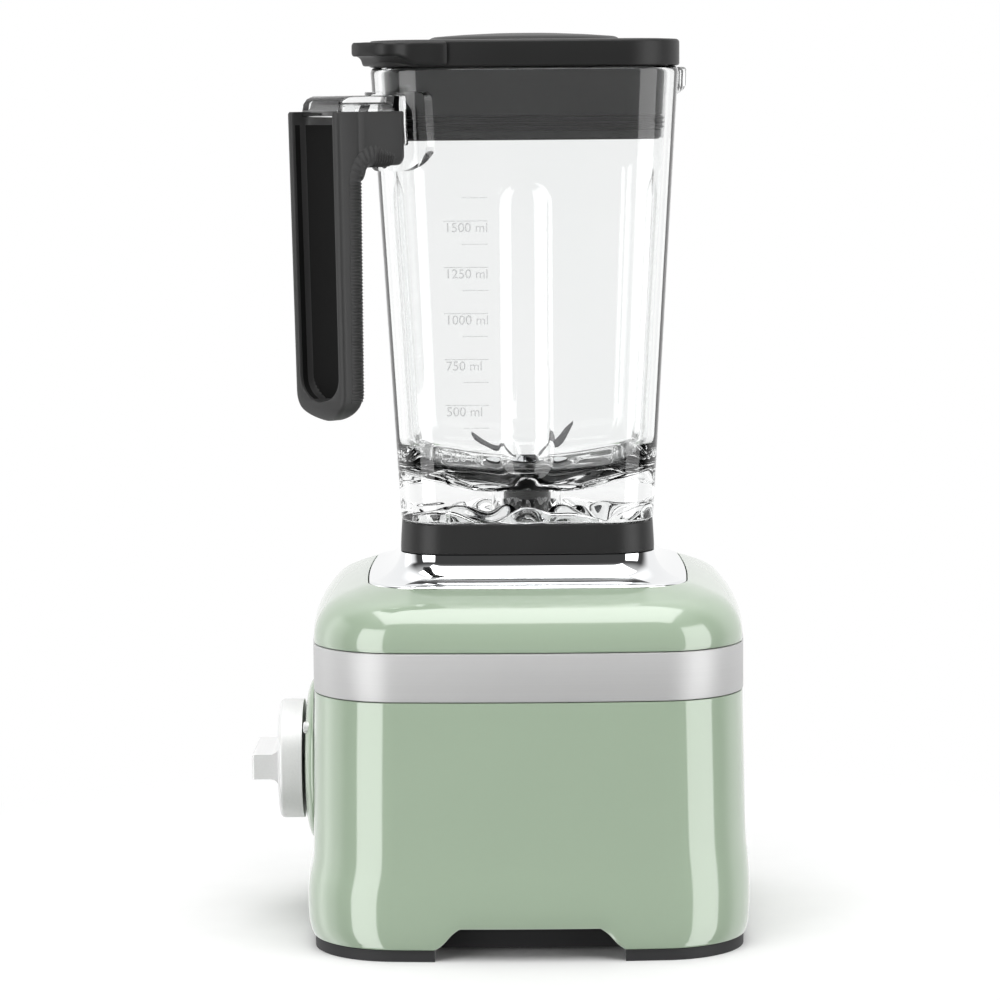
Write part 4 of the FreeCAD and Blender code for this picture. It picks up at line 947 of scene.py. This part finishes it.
RIB_START, RIB_PITCH, RIB_HEIGHT = 7 * MM, 1.5 * MM, 0.60 * MM


def rib_path(travel):
    """A place on the grip's inner side, the bend or the arm's underside, and the way off it."""
    start = GRIP_TIP + RIB_START
    corner_z = ARM_LOW - ARM_RADIUS
    straight = corner_z - start
    turn = ARM_RADIUS * math.pi / 2
    inner = grip_faces(ARM_LOW)[1]
    if travel < straight:
        z = start + travel
        return grip_faces(z)[1], z, -1.0, 0.0
    if travel < straight + turn:
        angle = (travel - straight) / ARM_RADIUS
        away_d, away_z = -math.cos(angle), -math.sin(angle)
        return (inner - ARM_RADIUS - away_d * ARM_RADIUS, corner_z - away_z * ARM_RADIUS,
                away_d, away_z)
    return inner - ARM_RADIUS - (travel - straight - turn), ARM_LOW, 0.0, -1.0


def ribs():
    """The soft insert with fine finger ribs that wraps the inner side of the handle."""
    length = (ARM_LOW - ARM_RADIUS - GRIP_TIP - RIB_START) + ARM_RADIUS * math.pi / 2 + 13 * MM
    count = int(length / RIB_PITCH) * 4
    rings = []
    for i in range(count + 1):
        travel = length * i / count
        reach, z, away_d, away_z = rib_path(travel)
        wave = 0.5 - 0.5 * math.cos(math.pi * (i % 4) / 2)
        fade = ease(travel / (3 * MM)) * ease((length - travel) / (3 * MM))
        proud = (0.10 * MM + RIB_HEIGHT * wave) * fade - 0.5 * MM * (1 - fade)
        half = grip_half(max(z, GRIP_TIP + RIB_START)) if away_d else GRIP_HALF
        taper = ease((length - travel) / (16 * MM))
        wrap = 5.2 * MM + 4.6 * MM * taper
        back = min(5.5 * MM, half * 0.6) if away_d else 4.6 * MM
        path = [(4.6 * MM, half - 3.0 * MM), (wrap, half - 1.2 * MM), (wrap, half + proud * 0.3),
                (wrap - 1.2 * MM, half + proud)]
        for k in range(7):
            angle = math.pi / 2 * k / 6
            path.append((back - (back + proud) * math.sin(angle),
                         half - back + (back + proud) * math.cos(angle)))
        path += [(depth, -w) for depth, w in reversed(path)]
        rings.append([along_handle(reach - away_d * depth, w, z - away_z * depth)
                      for depth, w in path])
    show(skin("handle_rib_insert", rings), "jar", "handle_plastic", smooth=60)


# ---------------------------------------------------------------- lid

LID_HALF, LID_CORNER = 73.8 * MM, 27.2 * MM
LID_BASE, LID_TOP = 414.1 * MM, high("lid_body")[2]


def lid_level(inset_jar, z):
    """A level of the plug, set in from the jar's outer face."""
    return at(ring(jar_half(z) - inset_jar, jar_half(z) - inset_jar,
                   max(jar_corner(z) - inset_jar, 6 * MM), bow=0.7, side_steps=20,
                   corner_steps=24), z)


def lid_ring(inset):
    return ring(LID_HALF - inset, LID_HALF - inset, LID_CORNER - inset, bow=0.7, side_steps=20,
                corner_steps=24)


def lid_shell():
    """The lid: a flat plate with the cap's seat, and a square plug with a groove for the seal."""
    base, top = LID_BASE, LID_TOP

    def rim(inset, z):
        return at(lid_ring(inset), z)

    def round_at(radius, z):
        return at(circle_like(lid_ring(0.0), radius), z)

    hole, sleeve, seat = 36.1 * MM, 38.6 * MM, 46.8 * MM
    rings = [round_at(hole, top - 1.6 * MM), round_at(seat - 0.4 * MM, top - 1.6 * MM),
             round_at(seat, top - 1.2 * MM), round_at(seat + 0.1 * MM, top - 0.2 * MM),
             round_at(seat + 0.6 * MM, top)]
    rings += [rim(16 * MM, top), rim(8 * MM, top - 0.1 * MM), rim(3 * MM, top - 0.3 * MM)]
    edge = 1.4 * MM
    for i in range(7):
        angle = math.pi / 2 * i / 6
        rings.append(rim(edge * (1 - math.sin(angle)),
                         top - 0.4 * MM - edge * (1 - math.cos(angle))))
    rings += [rim(0.0, base + 0.9 * MM), rim(0.25 * MM, base + 0.25 * MM), rim(0.9 * MM, base)]
    plug = WALL + 1.6 * MM
    rings += [at(ring(jar_half(base) - plug, jar_half(base) - plug, 21 * MM, bow=0.7,
                      side_steps=20, corner_steps=24), base)]
    for inset, z in ((0, 392.4), (0, 391.4), (1.4, 391.0), (1.4, 384.6), (0, 384.2), (0, 383.6),
                     (0, 381)):
        rings.append(lid_level(plug + inset * MM, z * MM))
    rings += [lid_level(plug + 1.0 * MM, 380.05 * MM), lid_level(plug + 3 * MM, 380.05 * MM),
              lid_level(plug + 3.2 * MM, 381 * MM), lid_level(plug + 3.2 * MM, top - 3.6 * MM),
              round_at(sleeve + 1 * MM, top - 3.6 * MM), round_at(sleeve, top - 4.6 * MM),
              round_at(sleeve, 396.4 * MM), round_at(sleeve - 0.4 * MM, 396 * MM),
              round_at(hole, 396 * MM)]
    show(skin("lid_shell", rings, closed=True), "lid", "lid_plastic", ["lid_body"], smooth=38)


def thumb_tab():
    """The tab on the lid's corner over the handle, which narrows outwards and ends round."""
    stations = []
    for i in range(27):
        reach = (78 + 25.6 * i / 26) * MM
        past = max(0.0, reach - 93.6 * MM) / (10 * MM)
        width = 5 * MM + 10.2 * MM * math.sqrt(max(0.0, 1 - min(past, 1.0)**2))
        width += 13 * MM * (1 - ease((reach - 76 * MM) / (19 * MM)))
        climb = ease((reach - 86 * MM) / (11 * MM))
        under = LID_BASE + 0.4 * MM + 4.4 * MM * climb
        crown = LID_TOP - 0.9 * MM - 0.4 * MM * ease((reach - 84 * MM) / (18 * MM))
        end = max(0.0, reach - 102.0 * MM) / (1.6 * MM)
        squeeze = 1.8 * MM * (1 - math.sqrt(max(0.0, 1 - min(end, 1.0)**2)))
        stations.append(rounded_section(reach, width - squeeze * 0.5, under + squeeze,
                                        crown - squeeze, 1.8 * MM))
    show(skin("lid_thumb_tab", stations), "lid", "lid_plastic", smooth=40)


def seal_ring():
    """The rubber seal in the plug's groove, with three fine lips."""
    profile = [(3.0, 384.7), (1.5, 384.7)]
    for z in (385.1, 387.1, 389.1):
        profile += [(1.3, z), (0.35, z + 0.5), (0.3, z + 0.8), (1.3, z + 1.1)]
    profile += [(1.5, 390.8), (3.0, 390.8)]
    lips = [lid_level(WALL + inset * MM, z * MM) for inset, z in profile]
    show(skin("lid_seal_ring", lips, closed=True), "lid", "seal_rubber", ["lid_seal"])


def centre_cap():
    """The round cap in the lid, a cup when it is turned over."""
    crown, top = high("centre_cap")[2], LID_TOP
    profile = rounded([
        (0, crown - 2.6 * MM), (32.8 * MM, crown - 3.4 * MM), (32.8 * MM, 393 * MM),
        (35.4 * MM, 393 * MM), (35.4 * MM, top - 1.3 * MM), (46.1 * MM, top - 1.3 * MM),
        (46.1 * MM, top + 0.3 * MM), (43.6 * MM, top + 1.7 * MM), (30 * MM, crown - 0.7 * MM),
        (14 * MM, crown), (0, crown)], 1.6 * MM, 5)
    show(lathe("cap_shell", profile, 144), "cap", "lid_plastic", ["centre_cap"], smooth=40)


# ---------------------------------------------------------------- printed scale

TOP_MARK, MARK_STEP = 353.6 * MM, 10.76 * MM
SCALE_LEFT, SCALE_RIGHT = -38.0 * MM, -17.5 * MM
WALL_BOW = 0.7


def wall_face(y, z):
    """Where the bowed +X wall of the jar lies."""
    return jar_half(z) - (WALL_BOW - math.sqrt(WALL_BOW**2 - y * y))


def text_mesh(name, words, size):
    curve = bpy.data.curves.new(name, "FONT")
    curve.body = words
    curve.size = size
    curve.extrude = 0.03 * MM
    holder = bpy.data.objects.new(name + "_text", curve)
    bpy.context.scene.collection.objects.link(holder)
    bpy.context.view_layer.update()
    graph = bpy.context.evaluated_depsgraph_get()
    mesh = bpy.data.meshes.new_from_object(holder.evaluated_get(graph))
    bpy.data.objects.remove(holder)
    mesh.name = name
    return mesh


def scale_lines():
    """Thin graduations, long and short by turns, on the wall beside the flute."""
    work = bmesh.new()
    for i in range(12):
        z = TOP_MARK - i * MARK_STEP
        start = SCALE_LEFT if i % 2 == 1 else SCALE_RIGHT - 12 * MM
        corners = []
        for k in range(7):
            y = start + (SCALE_RIGHT - start) * k / 6
            face = wall_face(y, z) + 0.05 * MM
            corners.append((work.verts.new((face, y, z - 0.16 * MM)),
                            work.verts.new((face, y, z + 0.16 * MM))))
        for (a, b), (c, d) in zip(corners, corners[1:]):
            work.faces.new((a, c, d, b))
    bmesh.ops.solidify(work, geom=work.faces, thickness=0.05 * MM)
    lines = bpy.data.meshes.new("scale_lines")
    work.to_mesh(lines)
    work.free()
    show(outward(lines), "jar", "scale_ink")


def scale_numbers():
    """Plain millilitre numbers under every second graduation."""
    middle = SCALE_LEFT + 10 * MM
    tilt = math.atan(JAR_FLARE / (JAR_HIGH - JAR_LOW))
    turn = Matrix.Rotation(math.pi / 2, 4, "Z") @ Matrix.Rotation(math.pi / 2, 4, "X")
    lean = Matrix.Rotation(tilt, 4, "Y") @ Matrix.Rotation(middle / WALL_BOW, 4, "Z")
    for i, value in enumerate((1500, 1250, 1000, 750, 500, 250)):
        z = TOP_MARK - (2 * i + 1) * MARK_STEP - 5.1 * MM
        mesh = text_mesh(f"scale_number_{i + 1}", f"{value} ml", 6.2 * MM)
        face = wall_face(middle, z + 2 * MM) + 0.12 * MM
        mesh.transform(Matrix.Translation((face, middle, z)) @ lean
                       @ Matrix.Translation((0, -9.5 * MM, 0)) @ turn)
        show(mesh, "jar", "scale_ink")


# ---------------------------------------------------------------- frame pieces kept as they are

def keep_frame_pieces():
    """Gives every piece of the frame its finish; most of them are seen as they are."""
    for item in frame["record"]["subparts"]:
        node = frame["nodes"][item["node"]]
        material = FINISHES[item["material_slot"]].material
        if not node.material_slots:
            node.data.materials.append(material)
        for holder in node.material_slots:
            holder.material = material


# ---------------------------------------------------------------- stage, light and camera

def stage_surface():
    """White paper that takes the soft shadow near the feet and glows evenly further out."""
    paper = Finish("studio_paper", Roughness=0.9, Specular_IOR_Level=0.0, Emission_Strength=1.0)
    fleck = paper.noise(40.0, detail=3.0)
    grey = paper.mix(fleck, (0.69, 0.69, 0.69, 1), (0.72, 0.72, 0.72, 1))
    where = paper.node("ShaderNodeTexCoord", output="Object")
    away = paper.node("ShaderNodeVectorMath", {"operation": "LENGTH"}, [where], output="Value")
    far = paper.smooth_step(away, 0.13, 0.42)
    paper.feed("Base Color", paper.mix(far, grey, (0, 0, 0, 1)))
    paper.feed("Emission Color", paper.mix(far, (0, 0, 0, 1), (1, 1, 1, 1)))
    return paper.material


def stage():
    size = 14.0
    mesh = bpy.data.meshes.new("studio_floor")
    mesh.from_pydata([(-size, -size, 0), (size, -size, 0), (size, size, 0), (-size, size, 0)],
                     [], [(0, 1, 2, 3)])
    floor = bpy.data.objects.new("studio_floor", mesh)
    bpy.context.scene.collection.objects.link(floor)
    floor.data.materials.append(stage_surface())
    floor.visible_glossy = False


# direction of each side panel's two edges in degrees, how soft they are, and its strength
SIDE_PANELS = [(-60, -25, 1.6, 3.8), (40, 78, 1.6, 3.3), (-120, -84, 8, 0.9)]
TOP_PANEL_STRENGTH = 3.8


def surroundings():
    """A studio by direction: a white back, a dim front, tall side panels and a top panel."""
    world = bpy.data.worlds.new("studio")
    bpy.context.scene.world = world
    world.use_nodes = True
    world.node_tree.nodes.clear()
    sky = Nodes(world.node_tree)
    where = sky.node("ShaderNodeTexCoord", output="Generated")
    split = sky.node("ShaderNodeSeparateXYZ", inputs=[where]).socket.node
    x, y, z = (Value(sky, split.outputs[axis]) for axis in "XYZ")
    azimuth = x.maths("ARCTAN2", y, x) * math.degrees(1)
    elevation = z.maths("ARCSINE", z) * math.degrees(1)

    def within(value, start, end, soft):
        inside = sky.smooth_step(value, start - soft, start + soft)
        beyond = sky.smooth_step(value, end - soft, end + soft)
        return inside - beyond

    back = sky.smooth_step(x * -1, 0.0, 0.45)
    high_up = sky.smooth_step(z, 0.62, 0.95)
    light = back * 0.94 + high_up * 0.6 + 0.06
    tall = within(elevation, -48, 34, 4)
    for start, end, soft, strength in SIDE_PANELS:
        light = light + within(azimuth, start, end, soft) * tall * strength
    slope_x = x.maths("DIVIDE", x, z.maths("MAXIMUM", z, 0.02))
    slope_y = y.maths("DIVIDE", y, z.maths("MAXIMUM", z, 0.02))
    top_panel = within(slope_x, -0.12, 0.86, 0.05) * within(slope_y, -0.5, 0.5, 0.05)
    light = light + top_panel * sky.smooth_step(z, 0.1, 0.2) * TOP_PANEL_STRENGTH
    room = sky.node("ShaderNodeBackground", inputs={"Color": light})
    open_white = sky.node("ShaderNodeBackground", inputs={"Color": (1, 1, 1, 1)})
    seen = sky.node("ShaderNodeLightPath", output="Is Camera Ray")
    choice = sky.node("ShaderNodeMixShader", inputs=[seen, room, open_white])
    output = sky.tree.nodes.new("ShaderNodeOutputWorld")
    sky.tree.links.new(choice.socket, output.inputs["Surface"])


def camera():
    """A long lens a little above the jar's middle, looking at the side beside the dial."""
    data = bpy.data.cameras.new("view")
    data.sensor_width = 36.0
    data.lens = 36.0 * 3.730
    eye = Vector((1.8, 0.0, 0.4034))
    aim = Vector((0.0, -0.0132, 0.2052))
    view = bpy.data.objects.new("view", data)
    bpy.context.scene.collection.objects.link(view)
    view.location = eye
    roll = math.radians(-0.45)
    look = (aim - eye).to_track_quat("-Z", "Y").to_matrix().to_4x4() @ Matrix.Rotation(roll, 4, "Z")
    view.rotation_mode = "QUATERNION"
    view.rotation_quaternion = look.to_quaternion()
    data.clip_start = 0.05
    data.clip_end = 60.0
    bpy.context.scene.camera = view
    bpy.context.scene.view_settings.view_transform = "Standard"


keep_frame_pieces()
housing()
band()
dome()
cove()
bezel()
bezel_seam()
gland()
jar()
foot_skirt()
collar()
handle_post()
handle_arm()
ribs()
lid_shell()
thumb_tab()
seal_ring()
centre_cap()
scale_lines()
scale_numbers()
stage()
surroundings()
camera()
